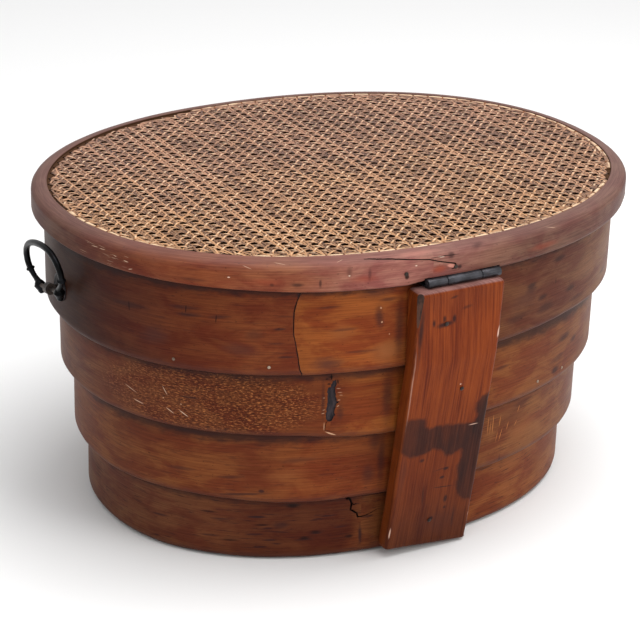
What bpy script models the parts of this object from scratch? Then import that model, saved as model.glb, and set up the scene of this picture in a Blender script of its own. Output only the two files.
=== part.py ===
"""Oval bentwood box with four stepped bands, a caned lid on one butt hinge and two iron bail handles.

Metres, +Z up. X runs along the box, -Y is the side with the hinge, and the box stands on Z = 0.
"""
import math

import bmesh
import bpy
from mathutils import Matrix, Vector

# Clearances
gap = 0.0003
joint_gap = 0.0005
cut_overrun = 0.002

# Oval plan, shared by every ring
lid_length = 0.630
lid_width = 0.504
oval_sides = 72
oval_power_share = 2.15

# Bentwood bands, from the lid down, each nested in the one above
rim_overhang = 0.012
band_thickness = 0.0127
band_drop = 0.073
band_top_height = 0.091
band_tuck = 0.016
band_edge_round = 0.009
band_edge_round_in = 0.0081
base_thickness = 0.012
closing_piece_left = 0.152
closing_piece_right = 0.005

# Lid rim
rim_height = 0.031
rim_width = 0.027
rim_side_round = 0.009
rim_side_round_in = 0.0155
rim_bottom_round = 0.006
cane_seat_inset = 0.016
cane_seat_depth = 0.0028

# Cane
cane_thickness = 0.0022
cane_gap_pitch = 0.028
cane_gap_size = 0.021
cane_border = 0.010
binder_width = 0.006
binder_height = 0.0015

# Batten that carries the hinge
batten_width = 0.094
batten_centre_x = -0.003
batten_top_depth = 0.0225
batten_knee_depth = 0.0165
batten_foot_depth = 0.0165
batten_top_drop = 0.0048
batten_edge = 0.0015
batten_edge_angle = 60.0

# Butt hinge
hinge_length = 0.081
hinge_centre_x = 0.003
hinge_axis_out = 0.0125
knuckle_radius = 0.0044
hinge_pin_radius = 0.0022
leaf_thickness = 0.0019
leaf_reach = 0.0245
knuckle_end_length = 0.0215
knuckle_gap = 0.0004
knuckle_roll = 300.0
knuckle_steps = 12
leaf_screw_head_radius = 0.0033
leaf_screw_radius = 0.0016
leaf_screw_length = 0.012
screw_rim_share = 0.4
screw_point_share = 0.75
leaf_screw_back = 0.0185
leaf_screw_pitch = 0.028

# Nails and tacks
nail_radius = 0.0011
nail_head_radius = 0.0021
nail_head_height = 0.0009
nail_face_share = 0.6
nail_point_share = 0.8
batten_nail_length = 0.013
batten_nail_top = (-0.018, 0.041)
batten_nail_middle = (0.009, 0.192)
batten_nail_bottom = (-0.004, 0.037)
rim_nail_length = 0.012
rim_nail_x = -0.058
rim_scarf_nail_x = -0.006
rim_nail_height = 0.012
tack_radius = 0.0008
tack_head_radius = 0.0016
tack_head_height = 0.0007
tack_length = 0.008
tack_rise = 0.0115
top_tack_place_shares = (0.642, 0.159)
upper_tack_place_shares = (0.441, 0.583)

# Bail handles
handle_drop = 0.052
handle_lean = 6.0
left_handle_twist = 12.0
left_handle_offset = 0.003
bail_half_width = 0.045
bail_height = 0.047
bail_radius = 0.0032
axle_radius = 0.0021
axle_half_length = 0.0275
eye_radius = 0.0058
eye_width = 0.009
eye_standoff = 0.003
shank_radius = 0.003
plate_radius = 0.0145
plate_thickness = 0.0024
plate_edge_share = 0.4
plate_face_share = 0.8
washer_radius = 0.008
washer_thickness = 0.0012
nut_radius = 0.0062
nut_thickness = 0.004
shank_spare = 0.002

# Sides of round pieces
fine_sides = 20
small_sides = 10
bail_sides = 8
nut_sides = 6
arc_margin_share = 0.125

# Heights that follow from the bands
foot_top = band_drop
lower_top = 2 * band_drop
upper_top = 3 * band_drop
body_top = upper_top + band_top_height
handle_height = body_top - handle_drop
rim_bottom = body_top + gap
rim_top = rim_bottom + rim_height
step = band_thickness + gap

# Outer half sizes of the rim and of each band
rim_half = (lid_length / 2, lid_width / 2)
top_half = (rim_half[0] - rim_overhang, rim_half[1] - rim_overhang)
upper_half = (top_half[0] - step, top_half[1] - step)
lower_half = (upper_half[0] - step, upper_half[1] - step)
foot_half = (lower_half[0] - step, lower_half[1] - step)

# Hinge axis
hinge_y = -top_half[1] - hinge_axis_out
hinge_z = rim_bottom - gap


def clear_scene():
    """Remove whatever the open file holds."""
    for thing in list(bpy.data.objects):
        bpy.data.objects.remove(thing, do_unlink=True)


def material(name, colour, roughness, metallic=0.0):
    """One Principled material."""
    made = bpy.data.materials.new(name)
    made.use_nodes = True
    shader = made.node_tree.nodes["Principled BSDF"]
    shader.inputs["Base Color"].default_value = (*colour, 1.0)
    shader.inputs["Roughness"].default_value = roughness
    shader.inputs["Metallic"].default_value = metallic
    return made


def add_mesh(name, vertices, faces, finish, smooth_angle=None):
    """One closed mesh object with its faces pointing out."""
    mesh = bpy.data.meshes.new(name)
    mesh.from_pydata([tuple(v) for v in vertices], [], faces)
    work = bmesh.new()
    work.from_mesh(mesh)
    bmesh.ops.recalc_face_normals(work, faces=work.faces)
    work.to_mesh(mesh)
    work.free()
    mesh.materials.append(finish)
    if smooth_angle is not None:
        mesh.shade_smooth()
        mesh.set_sharp_from_angle(angle=math.radians(smooth_angle))
    made = bpy.data.objects.new(name, mesh)
    bpy.context.scene.collection.objects.link(made)
    return made


def oval_point(half, angle, inset=0.0):
    """Point of the oval at a parameter angle, the oval drawn in by the inset."""
    power = 2 / oval_power_share
    c = math.cos(angle)
    s = math.sin(angle)
    x = (half[0] - inset) * math.copysign(abs(c) ** power, c)
    y = (half[1] - inset) * math.copysign(abs(s) ** power, s)
    return x, y


def front_angle(half, x):
    """Parameter angle at which the oval's hinge side passes x."""
    share = abs(x / half[0]) ** (oval_power_share / 2)
    return -math.acos(math.copysign(share, x))


def front_facet(half, x):
    """Y of the oval's hinge side at x, and the way into the wood there, on its faceted outline."""
    turn = 2 * math.pi / oval_sides
    first = math.floor(front_angle(half, x) / turn)
    x0, y0 = oval_point(half, first * turn)
    x1, y1 = oval_point(half, (first + 1) * turn)
    inward = Vector((y0 - y1, x1 - x0, 0)).normalized()
    return y0 + (y1 - y0) * (x - x0) / (x1 - x0), inward


def end_recess(half, inset, y):
    """How far the oval's end facet falls back at y from the oval's tip."""
    tip, _ = oval_point(half, 0.0, inset)
    x, side_y = oval_point(half, 2 * math.pi / oval_sides, inset)
    return (tip - x) * abs(y) / side_y


def oval_ring(name, half, profile, finish, start=None, end=None):
    """Ring or arc whose section is the profile of (inset, height) points, in order round the section."""
    turn = 2 * math.pi / oval_sides
    closed = start is None
    if closed:
        angles = [i * turn for i in range(oval_sides)]
    else:
        inner = [i * turn for i in range(-2 * oval_sides, 2 * oval_sides)]
        margin = turn * arc_margin_share
        angles = [start] + [a for a in inner if start + margin < a < end - margin] + [end]
    vertices = []
    for angle in angles:
        for inset, height in profile:
            x, y = oval_point(half, angle, inset)
            vertices.append((x, y, height))
    count = len(profile)
    spans = len(angles) if closed else len(angles) - 1
    faces = []
    for i in range(spans):
        j = (i + 1) % len(angles)
        for k in range(count):
            m = (k + 1) % count
            faces.append((i * count + k, j * count + k, j * count + m, i * count + m))
    if not closed:
        faces.append(tuple(range(count)))
        faces.append(tuple((len(angles) - 1) * count + k for k in range(count)))
    return add_mesh(name, vertices, faces, finish, smooth_angle=35)


def oval_plate(name, half, low, high, finish):
    """Flat oval plate."""
    turn = 2 * math.pi / oval_sides
    outline = [oval_point(half, i * turn) for i in range(oval_sides)]
    return extruded(name, [(x, y, low) for x, y in outline], Vector((0, 0, high - low)), finish)


def extruded(name, outline, reach, finish):
    """Flat outline pushed along the reach vector."""
    count = len(outline)
    vertices = [Vector(p) for p in outline] + [Vector(p) + reach for p in outline]
    faces = [tuple(range(count)), tuple(range(count, 2 * count))]
    for i in range(count):
        j = (i + 1) % count
        faces.append((i, j, count + j, count + i))
    return add_mesh(name, vertices, faces, finish)


def turned(name, profile, finish, sides=fine_sides, bored=False, smooth_angle=40):
    """Profile of (radius, place) points turned about local X. A bored one is a closed ring section."""
    vertices = []
    rows = []
    for radius, place in profile:
        if radius == 0:
            rows.append([len(vertices)])
            vertices.append((place, 0, 0))
            continue
        rows.append(list(range(len(vertices), len(vertices) + sides)))
        for i in range(sides):
            angle = 2 * math.pi * i / sides
            vertices.append((place, radius * math.cos(angle), radius * math.sin(angle)))
    pairs = list(zip(rows, rows[1:]))
    if bored:
        pairs.append((rows[-1], rows[0]))
    faces = []
    for low, high in pairs:
        for i in range(sides):
            j = (i + 1) % sides
            if len(low) == 1:
                faces.append((low[0], high[j], high[i]))
            elif len(high) == 1:
                faces.append((low[i], low[j], high[0]))
            else:
                faces.append((low[i], low[j], high[j], high[i]))
    return add_mesh(name, vertices, faces, finish, smooth_angle=smooth_angle)


def aim(thing, place, direction):
    """Put a turned piece at a place with its local X along a direction."""
    turn = Vector((1, 0, 0)).rotation_difference(Vector(direction).normalized())
    thing.matrix_world = Matrix.Translation(Vector(place)) @ turn.to_matrix().to_4x4()
    return thing


def cutter(thing):
    """Mark an object as a guide that is no piece of the box."""
    thing.hide_render = True
    thing.display_type = "WIRE"
    return thing


def cut(piece, tool):
    """Take the tool's shape out of a piece."""
    taken = piece.modifiers.new("cut", "BOOLEAN")
    taken.operation = "DIFFERENCE"
    taken.solver = "EXACT"
    taken.object = cutter(tool)


def join(piece, tool):
    """Fuse the tool's shape to a piece."""
    fused = piece.modifiers.new("join", "BOOLEAN")
    fused.operation = "UNION"
    fused.solver = "EXACT"
    fused.object = cutter(tool)


def bore(piece, radius, length, place, direction, finish, sides=small_sides):
    """Cut a round hole that starts just outside the place and runs along the direction."""
    profile = [(0, -cut_overrun), (radius, -cut_overrun), (radius, length), (0, length)]
    tool = turned("bore_" + piece.name, profile, finish, sides=sides)
    cut(piece, aim(tool, place, direction))


def box(name, low, high, finish):
    """Box between two corners."""
    outline = [(low[0], low[1], low[2]), (high[0], low[1], low[2])]
    outline += [(high[0], high[1], low[2]), (low[0], high[1], low[2])]
    return extruded(name, outline, Vector((0, 0, high[2] - low[2])), finish)


def band_profile(low, high):
    """Section of a band: straight outside, a rounded lower edge, flat inside."""
    round_shares = ((0.0, 1.0), (0.18, 0.42), (0.55, 0.09), (1.0, 0.0))
    profile = [(0.0, high)]
    profile += [(a * band_edge_round_in, low + b * band_edge_round) for a, b in round_shares]
    profile += [(band_thickness, low), (band_thickness, high)]
    return profile


def rim_profile():
    """Section of the lid rim: upright outside, a wide rounded slope on top and a seat for the cane."""
    top_shares = ((0.0, 1.0), (0.14, 0.55), (0.45, 0.17), (1.0, 0.0))
    bottom_shares = ((1.0, 0.0), (0.4, 0.2), (0.0, 1.0))
    profile = [(a * rim_bottom_round, rim_bottom + b * rim_bottom_round) for a, b in bottom_shares]
    profile += [(a * rim_side_round_in, rim_top - b * rim_side_round) for a, b in top_shares]
    seat = rim_top - cane_seat_depth
    profile += [(cane_seat_inset, rim_top), (cane_seat_inset, seat)]
    profile += [(rim_width, seat), (rim_width, rim_bottom)]
    return profile


def make_bands(wood):
    """The four bands, the closing piece of the top one and the base."""
    nested = (
        ("band_foot", foot_half, 0.0, foot_top + band_tuck),
        ("band_lower", lower_half, foot_top, lower_top + band_tuck),
        ("band_upper", upper_half, lower_top, upper_top + band_tuck),
    )
    made = {}
    for name, half, low, high in nested:
        made[name] = oval_ring(name, half, band_profile(low, high), wood)
    left = front_angle(top_half, -closing_piece_left)
    right = front_angle(top_half, closing_piece_right)
    joint = joint_gap / top_half[0]
    section = band_profile(upper_top, body_top)
    start = right + joint
    end = left + 2 * math.pi - joint
    made["band_top"] = oval_ring("band_top", top_half, section, wood, start, end)
    closing = "band_top_closing_piece"
    made[closing] = oval_ring(closing, top_half, section, wood, left, right)
    base_half = (foot_half[0] - step, foot_half[1] - step)
    made["base_board"] = oval_plate("base_board", base_half, 0.0, base_thickness, wood)
    return made


def make_batten(wood):
    """Upright plank: flat against the top band, then slanting down over the lower ones."""
    back_top = -top_half[1] - gap
    back_foot = -foot_half[1] - gap
    top = body_top - batten_top_drop
    knee = upper_top + band_edge_round
    slope = (back_top - back_foot) / (knee - band_edge_round)
    foot_front = back_foot - batten_foot_depth
    side = [
        (foot_front, 0.0),
        (back_top - batten_knee_depth, knee),
        (back_top - batten_top_depth, top),
        (back_top, top),
        (back_top, knee),
        (back_foot + slope * band_edge_round, 0.0),
    ]
    left = batten_centre_x - batten_width / 2
    outline = [(left, y, z) for y, z in side]
    batten = extruded("hinge_batten", outline, Vector((batten_width, 0, 0)), wood)
    edges = batten.modifiers.new("edges", "BEVEL")
    edges.width = batten_edge
    edges.segments = 1
    edges.limit_method = "ANGLE"
    edges.angle_limit = math.radians(batten_edge_angle)
    return batten


def batten_front(z):
    """Y of the batten's front face at a height, and the way into the wood there."""
    back_top = -top_half[1] - gap
    foot = (-foot_half[1] - gap - batten_foot_depth, 0.0)
    knee = (back_top - batten_knee_depth, upper_top + band_edge_round)
    top = (back_top - batten_top_depth, body_top - batten_top_drop)
    low, high = (foot, knee) if z < knee[1] else (knee, top)
    inward = Vector((0, high[1] - low[1], low[0] - high[0])).normalized()
    return low[0] + (high[0] - low[0]) * (z - low[1]) / (high[1] - low[1]), inward


def headed_nail(name, radius, head_radius, head_height, length, iron):
    """Nail with its head's underside at local X = 0, its head towards -X."""
    profile = [
        (0, -head_height),
        (head_radius * nail_face_share, -head_height),
        (head_radius, -head_height / 2),
        (head_radius, 0),
        (radius, 0),
        (radius, length * nail_point_share),
        (0, length),
    ]
    return turned(name, profile, iron, sides=small_sides)


def drive(name, piece, place, direction, sizes, iron):
    """Drive a nail of (radius, head radius, head height, length) into a bore in a piece."""
    radius, head_radius, head_height, length = sizes
    nail = headed_nail(name, radius, head_radius, head_height, length, iron)
    seat = Vector(place) - Vector(direction).normalized() * gap
    aim(nail, seat, direction)
    bore(piece, radius + gap, length + gap, place, direction, iron)
    return nail


def make_nails(pieces, batten, rim, iron):
    """Nails in the batten and the rim, and tacks in two bands. Returns those that the lid carries."""
    nail = (nail_radius, nail_head_radius, nail_head_height)
    top_place = (batten_nail_top[0], body_top - batten_nail_top[1])
    places = (("top", top_place), ("middle", batten_nail_middle), ("bottom", batten_nail_bottom))
    for word, (x, z) in places:
        y, inward = batten_front(z)
        drive("batten_nail_" + word, batten, (x, y, z), inward, (*nail, batten_nail_length), iron)
    lid_nails = []
    height = rim_bottom + rim_nail_height
    for name, x in (("rim_nail", rim_nail_x), ("rim_scarf_nail", rim_scarf_nail_x)):
        y, inward = front_facet(rim_half, x)
        lid_nails.append(drive(name, rim, (x, y, height), inward, (*nail, rim_nail_length), iron))
    tack = (tack_radius, tack_head_radius, tack_head_height, tack_length)
    beside_joint = top_half[0] - closing_piece_left
    top_places = [-closing_piece_left - share * beside_joint for share in top_tack_place_shares]
    upper_places = [share * upper_half[0] for share in upper_tack_place_shares]
    rows = (
        ("band_top", top_half, upper_top, top_places),
        ("band_upper", upper_half, lower_top, upper_places),
    )
    for band, half, low, band_places in rows:
        for number, x in enumerate(band_places, start=1):
            y, inward = front_facet(half, x)
            back = Vector((inward.x, -inward.y, 0))
            name = "{}_tack_{}".format(band, number)
            drive(name + "_front", pieces[band], (x, y, low + tack_rise), inward, tack, iron)
            drive(name + "_back", pieces[band], (x, -y, low + tack_rise), back, tack, iron)
    return lid_nails


def knuckle(name, start, end, side, iron):
    """Rolled knuckle about the hinge axis; side is -1 where its leaf lies below, +1 above."""
    inner = hinge_pin_radius + gap
    tail = knuckle_radius + leaf_thickness
    outer_points = []
    inner_points = []
    for i in range(knuckle_steps + 1):
        angle = math.radians(-90 - knuckle_roll * i / knuckle_steps)
        outer_points.append((knuckle_radius * math.cos(angle), knuckle_radius * math.sin(angle)))
        inner_points.append((inner * math.cos(angle), inner * math.sin(angle)))
    section = [(tail, -knuckle_radius)] + outer_points + inner_points[::-1]
    section += [(tail, -inner)]
    outline = [(start, hinge_y + y, hinge_z - side * z) for y, z in section]
    return extruded(name, outline, Vector((end - start, 0, 0)), iron)


def make_leaf(name, side, spans, band_pieces, iron):
    """Hinge leaf with knuckles over the given spans, its screws and the bores that they need."""
    left = hinge_centre_x - hinge_length / 2
    far = hinge_y + leaf_reach
    near = hinge_y + knuckle_radius + joint_gap
    outer = hinge_z + side * knuckle_radius
    inner = outer - side * leaf_thickness
    low = (left, near, min(outer, inner))
    high = (left + hinge_length, far, max(outer, inner))
    leaf = box(name, low, high, iron)
    for number, (start, end) in enumerate(spans):
        join(leaf, knuckle("{}_knuckle_{}".format(name, number), start, end, side, iron))
    screws = []
    for number in range(3):
        x = hinge_centre_x + (number - 1) * leaf_screw_pitch
        y = hinge_y + leaf_screw_back
        place = Vector((x, y, inner))
        direction = (0, 0, side)
        screws.append(make_screw("{}_screw_{}".format(name, number + 1), place, direction, iron))
        bore(leaf, leaf_screw_head_radius + gap, leaf_thickness + cut_overrun, place, direction, iron)
        for piece in band_pieces:
            seat = Vector((x, y, outer))
            reach = leaf_screw_length - leaf_thickness + gap
            bore(piece, leaf_screw_radius + gap, reach, seat, direction, iron)
    return leaf, screws


def make_screw(name, place, direction, iron):
    """Flat-headed screw whose head fills the leaf's hole."""
    profile = [
        (0, 0),
        (leaf_screw_head_radius, 0),
        (leaf_screw_head_radius, leaf_thickness * screw_rim_share),
        (leaf_screw_radius, leaf_thickness),
        (leaf_screw_radius, leaf_screw_length * screw_point_share),
        (0, leaf_screw_length),
    ]
    return aim(turned(name, profile, iron, sides=small_sides), place, direction)


def make_hinge(pieces, rim, iron):
    """Butt hinge: two leaves and a pin. Returns what the lid carries."""
    left = hinge_centre_x - hinge_length / 2
    right = left + hinge_length
    first = left + knuckle_end_length
    last = right - knuckle_end_length
    spans_lower = ((left, first), (last, right))
    spans_upper = ((first + knuckle_gap, last - knuckle_gap),)
    bands = (pieces["band_top"], pieces["band_top_closing_piece"])
    for piece in bands:
        low = (left - gap, -top_half[1] - cut_overrun, hinge_z - knuckle_radius - gap)
        high = (right + gap, hinge_y + leaf_reach + gap, body_top + cut_overrun)
        cut(piece, box("leaf_notch_" + piece.name, low, high, iron))
    low = (left - gap, hinge_y - knuckle_radius - cut_overrun, rim_bottom - cut_overrun)
    high = (right + gap, hinge_y + leaf_reach + gap, hinge_z + knuckle_radius + gap)
    cut(rim, box("leaf_notch_rim", low, high, iron))
    make_leaf("hinge_leaf_lower", -1, spans_lower, bands, iron)
    upper, screws = make_leaf("hinge_leaf_upper", 1, spans_upper, (rim,), iron)
    profile = [(0, 0), (hinge_pin_radius, 0), (hinge_pin_radius, hinge_length), (0, hinge_length)]
    pin = turned("hinge_pin", profile, iron, sides=fine_sides)
    aim(pin, (left, hinge_y, hinge_z), (1, 0, 0))
    return [upper] + screws


def make_cane(cane):
    """Caned panel, drawn as a plain net, and the binder over its edge."""
    half = (rim_half[0] - cane_seat_inset - gap, rim_half[1] - cane_seat_inset - gap)
    low = rim_top - cane_seat_depth + gap
    high = low + cane_thickness
    panel = oval_plate("cane_panel", half, low, high, cane)
    vertices = []
    faces = []
    reach_x = int(half[0] / cane_gap_pitch) + 1
    reach_y = int(half[1] / cane_gap_pitch) + 1
    corner_x = half[0] - cane_border
    corner_y = half[1] - cane_border
    for i in range(-reach_x, reach_x + 1):
        for j in range(-reach_y, reach_y + 1):
            x = (i + 0.5) * cane_gap_pitch
            y = j * cane_gap_pitch
            far_x = (abs(x) + cane_gap_size / 2) / corner_x
            far_y = (abs(y) + cane_gap_size / 2) / corner_y
            if far_x ** oval_power_share + far_y ** oval_power_share > 1:
                continue
            add_gap(vertices, faces, x, y, low - cut_overrun, high + cut_overrun)
    cut(panel, add_mesh("cane_gaps", vertices, faces, cane))
    domed_shares = ((0.0, 0.0), (1.0, 0.0), (0.85, 0.7), (0.5, 1.0), (0.15, 0.7))
    seat = high + gap
    profile = [(a * binder_width, seat + b * binder_height) for a, b in domed_shares]
    binder = oval_ring("cane_binder", half, profile, cane)
    return [panel, binder]


def add_gap(vertices, faces, x, y, low, high):
    """Add one square gap's box to a cutter's mesh."""
    first = len(vertices)
    reach = cane_gap_size / 2
    for z in (low, high):
        for a, b in ((-1, -1), (1, -1), (1, 1), (-1, 1)):
            vertices.append((x + a * reach, y + b * reach, z))
    sides = [(0, 1, 2, 3), (7, 6, 5, 4), (0, 4, 5, 1), (1, 5, 6, 2), (2, 6, 7, 3), (3, 7, 4, 0)]
    faces += [tuple(first + k for k in side) for side in sides]


def bail_rings():
    """Centres and radii along the bail, from one ball end to the other, in shares of its size."""
    half_shares = (
        (0.545, -0.225, 0.30),
        (0.550, -0.200, 1.10),
        (0.560, -0.150, 1.30),
        (0.572, -0.105, 0.95),
        (0.580, -0.080, 1.70),
        (0.605, 0.000, 1.75),
        (0.640, 0.050, 1.10),
        (0.760, 0.130, 0.85),
        (0.900, 0.225, 0.95),
        (0.930, 0.250, 1.35),
        (0.955, 0.275, 1.35),
        (0.975, 0.310, 0.95),
        (1.000, 0.420, 1.00),
        (0.985, 0.560, 1.00),
        (0.920, 0.700, 1.00),
        (0.800, 0.820, 1.00),
        (0.620, 0.915, 1.00),
        (0.330, 0.980, 1.00),
        (0.000, 1.000, 1.00),
    )
    shares = list(half_shares) + [(-a, b, c) for a, b, c in half_shares[-2::-1]]
    return [(a * bail_half_width, b * bail_height, c * bail_radius) for a, b, c in shares]


def make_bail(name, iron):
    """Bail in its own frame: local Y along its axle, local Z up, local X away from the box."""
    rings = bail_rings()
    vertices = []
    for i, (y, z, radius) in enumerate(rings):
        before = rings[max(i - 1, 0)]
        after = rings[min(i + 1, len(rings) - 1)]
        along = Vector((0, after[0] - before[0], after[1] - before[1])).normalized()
        across = Vector((0, -along[2], along[1]))
        for k in range(bail_sides):
            angle = 2 * math.pi * (k + 0.5) / bail_sides
            offset = across * math.cos(angle) + Vector((1, 0, 0)) * math.sin(angle)
            vertices.append(Vector((0, y, z)) + offset * radius)
    faces = []
    for i in range(len(rings) - 1):
        for k in range(bail_sides):
            m = (k + 1) % bail_sides
            a = i * bail_sides
            b = a + bail_sides
            faces.append((a + k, a + m, b + m, b + k))
    last = (len(rings) - 1) * bail_sides
    faces.append(tuple(range(bail_sides)))
    faces.append(tuple(last + k for k in range(bail_sides)))
    return add_mesh(name, vertices, faces, iron, smooth_angle=60)


def make_handle(word, side, twist, offset, band, iron):
    """Bail handle on one end of the box; side is -1 at the left end, +1 at the right."""
    wall = side * top_half[0]
    plate_out = gap + plate_thickness
    axis_out = plate_out + gap + eye_standoff + eye_radius
    pivot = Vector((wall + side * axis_out, offset, handle_height))
    heading = Matrix.Rotation(math.pi if side < 0 else 0, 4, "Z")
    frame = Matrix.Translation(pivot) @ heading @ Matrix.Rotation(math.radians(twist), 4, "X")
    lean = frame @ Matrix.Rotation(math.radians(handle_lean), 4, "Y")

    bail = make_bail("handle_bail_" + word, iron)
    bail.matrix_world = lean
    end = axle_half_length
    axle_profile = [(0, -end), (axle_radius, -end), (axle_radius, end), (0, end)]
    axle = turned("handle_axle_" + word, axle_profile, iron, sides=small_sides)
    axle.matrix_world = lean @ Matrix.Rotation(math.pi / 2, 4, "Z")
    wide = end + cut_overrun
    hole_profile = [(0, -wide), (axle_radius + gap, -wide), (axle_radius + gap, wide), (0, wide)]
    hole = turned("axle_hole_" + word, hole_profile, iron, sides=small_sides)
    hole.matrix_world = axle.matrix_world
    cut(bail, hole)

    half = eye_width / 2
    eye_bore = axle_radius + gap
    eye_profile = [(eye_bore, -half), (eye_radius, -half), (eye_radius, half), (eye_bore, half)]
    eye = turned("handle_eye_" + word, eye_profile, iron, sides=fine_sides, bored=True)
    eye.matrix_world = frame @ Matrix.Rotation(math.pi / 2, 4, "Z")
    inner_wall = axis_out + band_thickness
    hollow = end_recess(top_half, band_thickness, offset + washer_radius)
    nut_end = inner_wall + hollow + washer_thickness + nut_thickness + 2 * gap
    root = (eye_bore + eye_radius) / 2
    tip = nut_end + shank_spare
    shank_profile = [(0, root), (shank_radius, root), (shank_radius, tip), (0, tip)]
    shank = turned("eye_shank_" + word, shank_profile, iron, sides=small_sides)
    shank.matrix_world = frame @ Matrix.Rotation(math.pi, 4, "Z")
    join(eye, shank)

    hole_radius = shank_radius + gap
    bore_start = Vector((wall + side * cut_overrun, offset, handle_height))
    bore(band, hole_radius, band_thickness + 3 * cut_overrun, bore_start, (-side, 0, 0), iron)

    plate_profile = [
        (hole_radius, 0),
        (plate_radius, 0),
        (plate_radius, plate_thickness * plate_edge_share),
        (plate_radius * plate_face_share, plate_thickness),
        (hole_radius, plate_thickness),
    ]
    plate = turned("handle_plate_" + word, plate_profile, iron, bored=True)
    aim(plate, (wall + side * gap, offset, handle_height), (side, 0, 0))
    face = wall - side * (band_thickness + hollow + gap)
    washer_profile = [
        (hole_radius, 0),
        (washer_radius, 0),
        (washer_radius, washer_thickness),
        (hole_radius, washer_thickness),
    ]
    washer = turned("handle_washer_" + word, washer_profile, iron, bored=True)
    aim(washer, (face, offset, handle_height), (-side, 0, 0))
    nut_face = face - side * (washer_thickness + gap)
    nut_bore = hole_radius / math.cos(math.pi / nut_sides)
    nut_profile = [(nut_bore, 0), (nut_radius, 0), (nut_radius, nut_thickness), (nut_bore, nut_thickness)]
    nut = turned("handle_nut_" + word, nut_profile, iron, sides=nut_sides, bored=True, smooth_angle=20)
    aim(nut, (nut_face, offset, handle_height), (-side, 0, 0))
    return bail, axle, pivot


def hang_on(name, place, children):
    """Empty on a joint's axis that carries the pieces which turn about it."""
    pivot = bpy.data.objects.new(name, None)
    pivot.location = place
    bpy.context.scene.collection.objects.link(pivot)
    bpy.context.view_layer.update()
    for child in children:
        world = child.matrix_world.copy()
        child.parent = pivot
        child.matrix_parent_inverse = pivot.matrix_world.inverted()
        child.matrix_world = world
    return pivot


def main():
    """Build the box."""
    clear_scene()
    wood = material("bent_wood", (0.25, 0.085, 0.03), 0.45)
    plank = material("batten_wood", (0.33, 0.09, 0.022), 0.4)
    rim_wood = material("rim_wood", (0.22, 0.07, 0.04), 0.42)
    cane = material("cane", (0.55, 0.34, 0.15), 0.5)
    iron = material("iron", (0.03, 0.032, 0.035), 0.45, metallic=0.9)

    pieces = make_bands(wood)
    batten = make_batten(plank)
    rim = oval_ring("lid_rim", rim_half, rim_profile(), rim_wood)
    lid_nails = make_nails(pieces, batten, rim, iron)
    lid_hinge = make_hinge(pieces, rim, iron)
    lid_cane = make_cane(cane)
    hang_on("lid_pivot", (hinge_centre_x, hinge_y, hinge_z), [rim] + lid_nails + lid_hinge + lid_cane)
    for word, side, twist, offset in (
        ("left", -1, left_handle_twist, left_handle_offset),
        ("right", 1, 0.0, 0.0),
    ):
        bail, axle, pivot = make_handle(word, side, twist, offset, pieces["band_top"], iron)
        hang_on("handle_pivot_" + word, pivot, [bail, axle])


main()
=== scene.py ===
# %% [markdown]
# # An oval bentwood box with a caned lid
# The object is an old oval box. Four wide hoops of bent wood sit one inside the other, each a
# little smaller than the one above. A flat lid of open cane work turns on one iron butt hinge, and
# the hinge is carried by an upright wooden batten. An iron bail hangs at each end. This lesson
# dresses a finished CAD model: every CAD piece is either replaced by a finer one that stands in
# the same place, or kept and given a worn wood or iron finish.

# %% Load the fixed frame
import math

import bpy
import numpy as np
from mathutils import Matrix, Vector
from mathutils import noise as field


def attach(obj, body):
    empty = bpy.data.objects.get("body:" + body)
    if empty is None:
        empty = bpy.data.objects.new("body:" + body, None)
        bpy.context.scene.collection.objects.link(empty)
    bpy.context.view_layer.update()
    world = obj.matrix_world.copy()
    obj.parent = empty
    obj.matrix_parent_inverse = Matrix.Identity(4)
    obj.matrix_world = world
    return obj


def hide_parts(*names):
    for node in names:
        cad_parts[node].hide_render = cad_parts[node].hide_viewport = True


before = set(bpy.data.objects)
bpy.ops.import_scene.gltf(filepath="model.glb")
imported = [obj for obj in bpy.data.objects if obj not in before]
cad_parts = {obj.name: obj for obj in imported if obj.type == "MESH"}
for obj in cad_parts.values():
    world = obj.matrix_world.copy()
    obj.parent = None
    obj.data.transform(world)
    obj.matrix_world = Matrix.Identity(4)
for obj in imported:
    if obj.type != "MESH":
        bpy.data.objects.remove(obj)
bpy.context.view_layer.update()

# %% [markdown]
# ## The camera
# The picture was taken from a little above and to the left of the hinge side, with a long lens, so
# the sides stay nearly upright. The lens is 118 mm on a 36 mm sensor. The camera is set by its
# place and by three angles: round the box, above it, and a slight roll of the hand.

# %% Place the camera
azimuth, elevation, roll = (math.radians(a) for a in (28.805, 23.436, 1.453))
back = Vector(
    (
        -math.sin(azimuth) * math.cos(elevation),
        -math.cos(azimuth) * math.cos(elevation),
        math.sin(elevation),
    )
)
level = Vector((math.cos(azimuth), -math.sin(azimuth), 0))
upward = back.cross(level)
right = level * math.cos(roll) + upward * math.sin(roll)
top = upward * math.cos(roll) - level * math.sin(roll)
bpy.ops.object.camera_add(location=(-0.9998, -1.7971, 1.0584))
camera = bpy.context.object
turn = Matrix((right, top, back)).transposed().to_4x4()
camera.matrix_world = Matrix.Translation(camera.location) @ turn
camera.data.lens = 118.14
camera.data.sensor_width = 36
camera.data.clip_end = 50
bpy.context.scene.camera = camera
print("camera at", [round(x, 3) for x in camera.location])

# %% [markdown]
# ## Floor, sky and lamps
# A big pale floor and a pale sky stand for the white studio. The sky is brighter on the right,
# because the right end of the real box is lighter than its left one. One wide soft lamp hangs
# above and one stands in front on the right; a lamp is soft when it is large.

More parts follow.
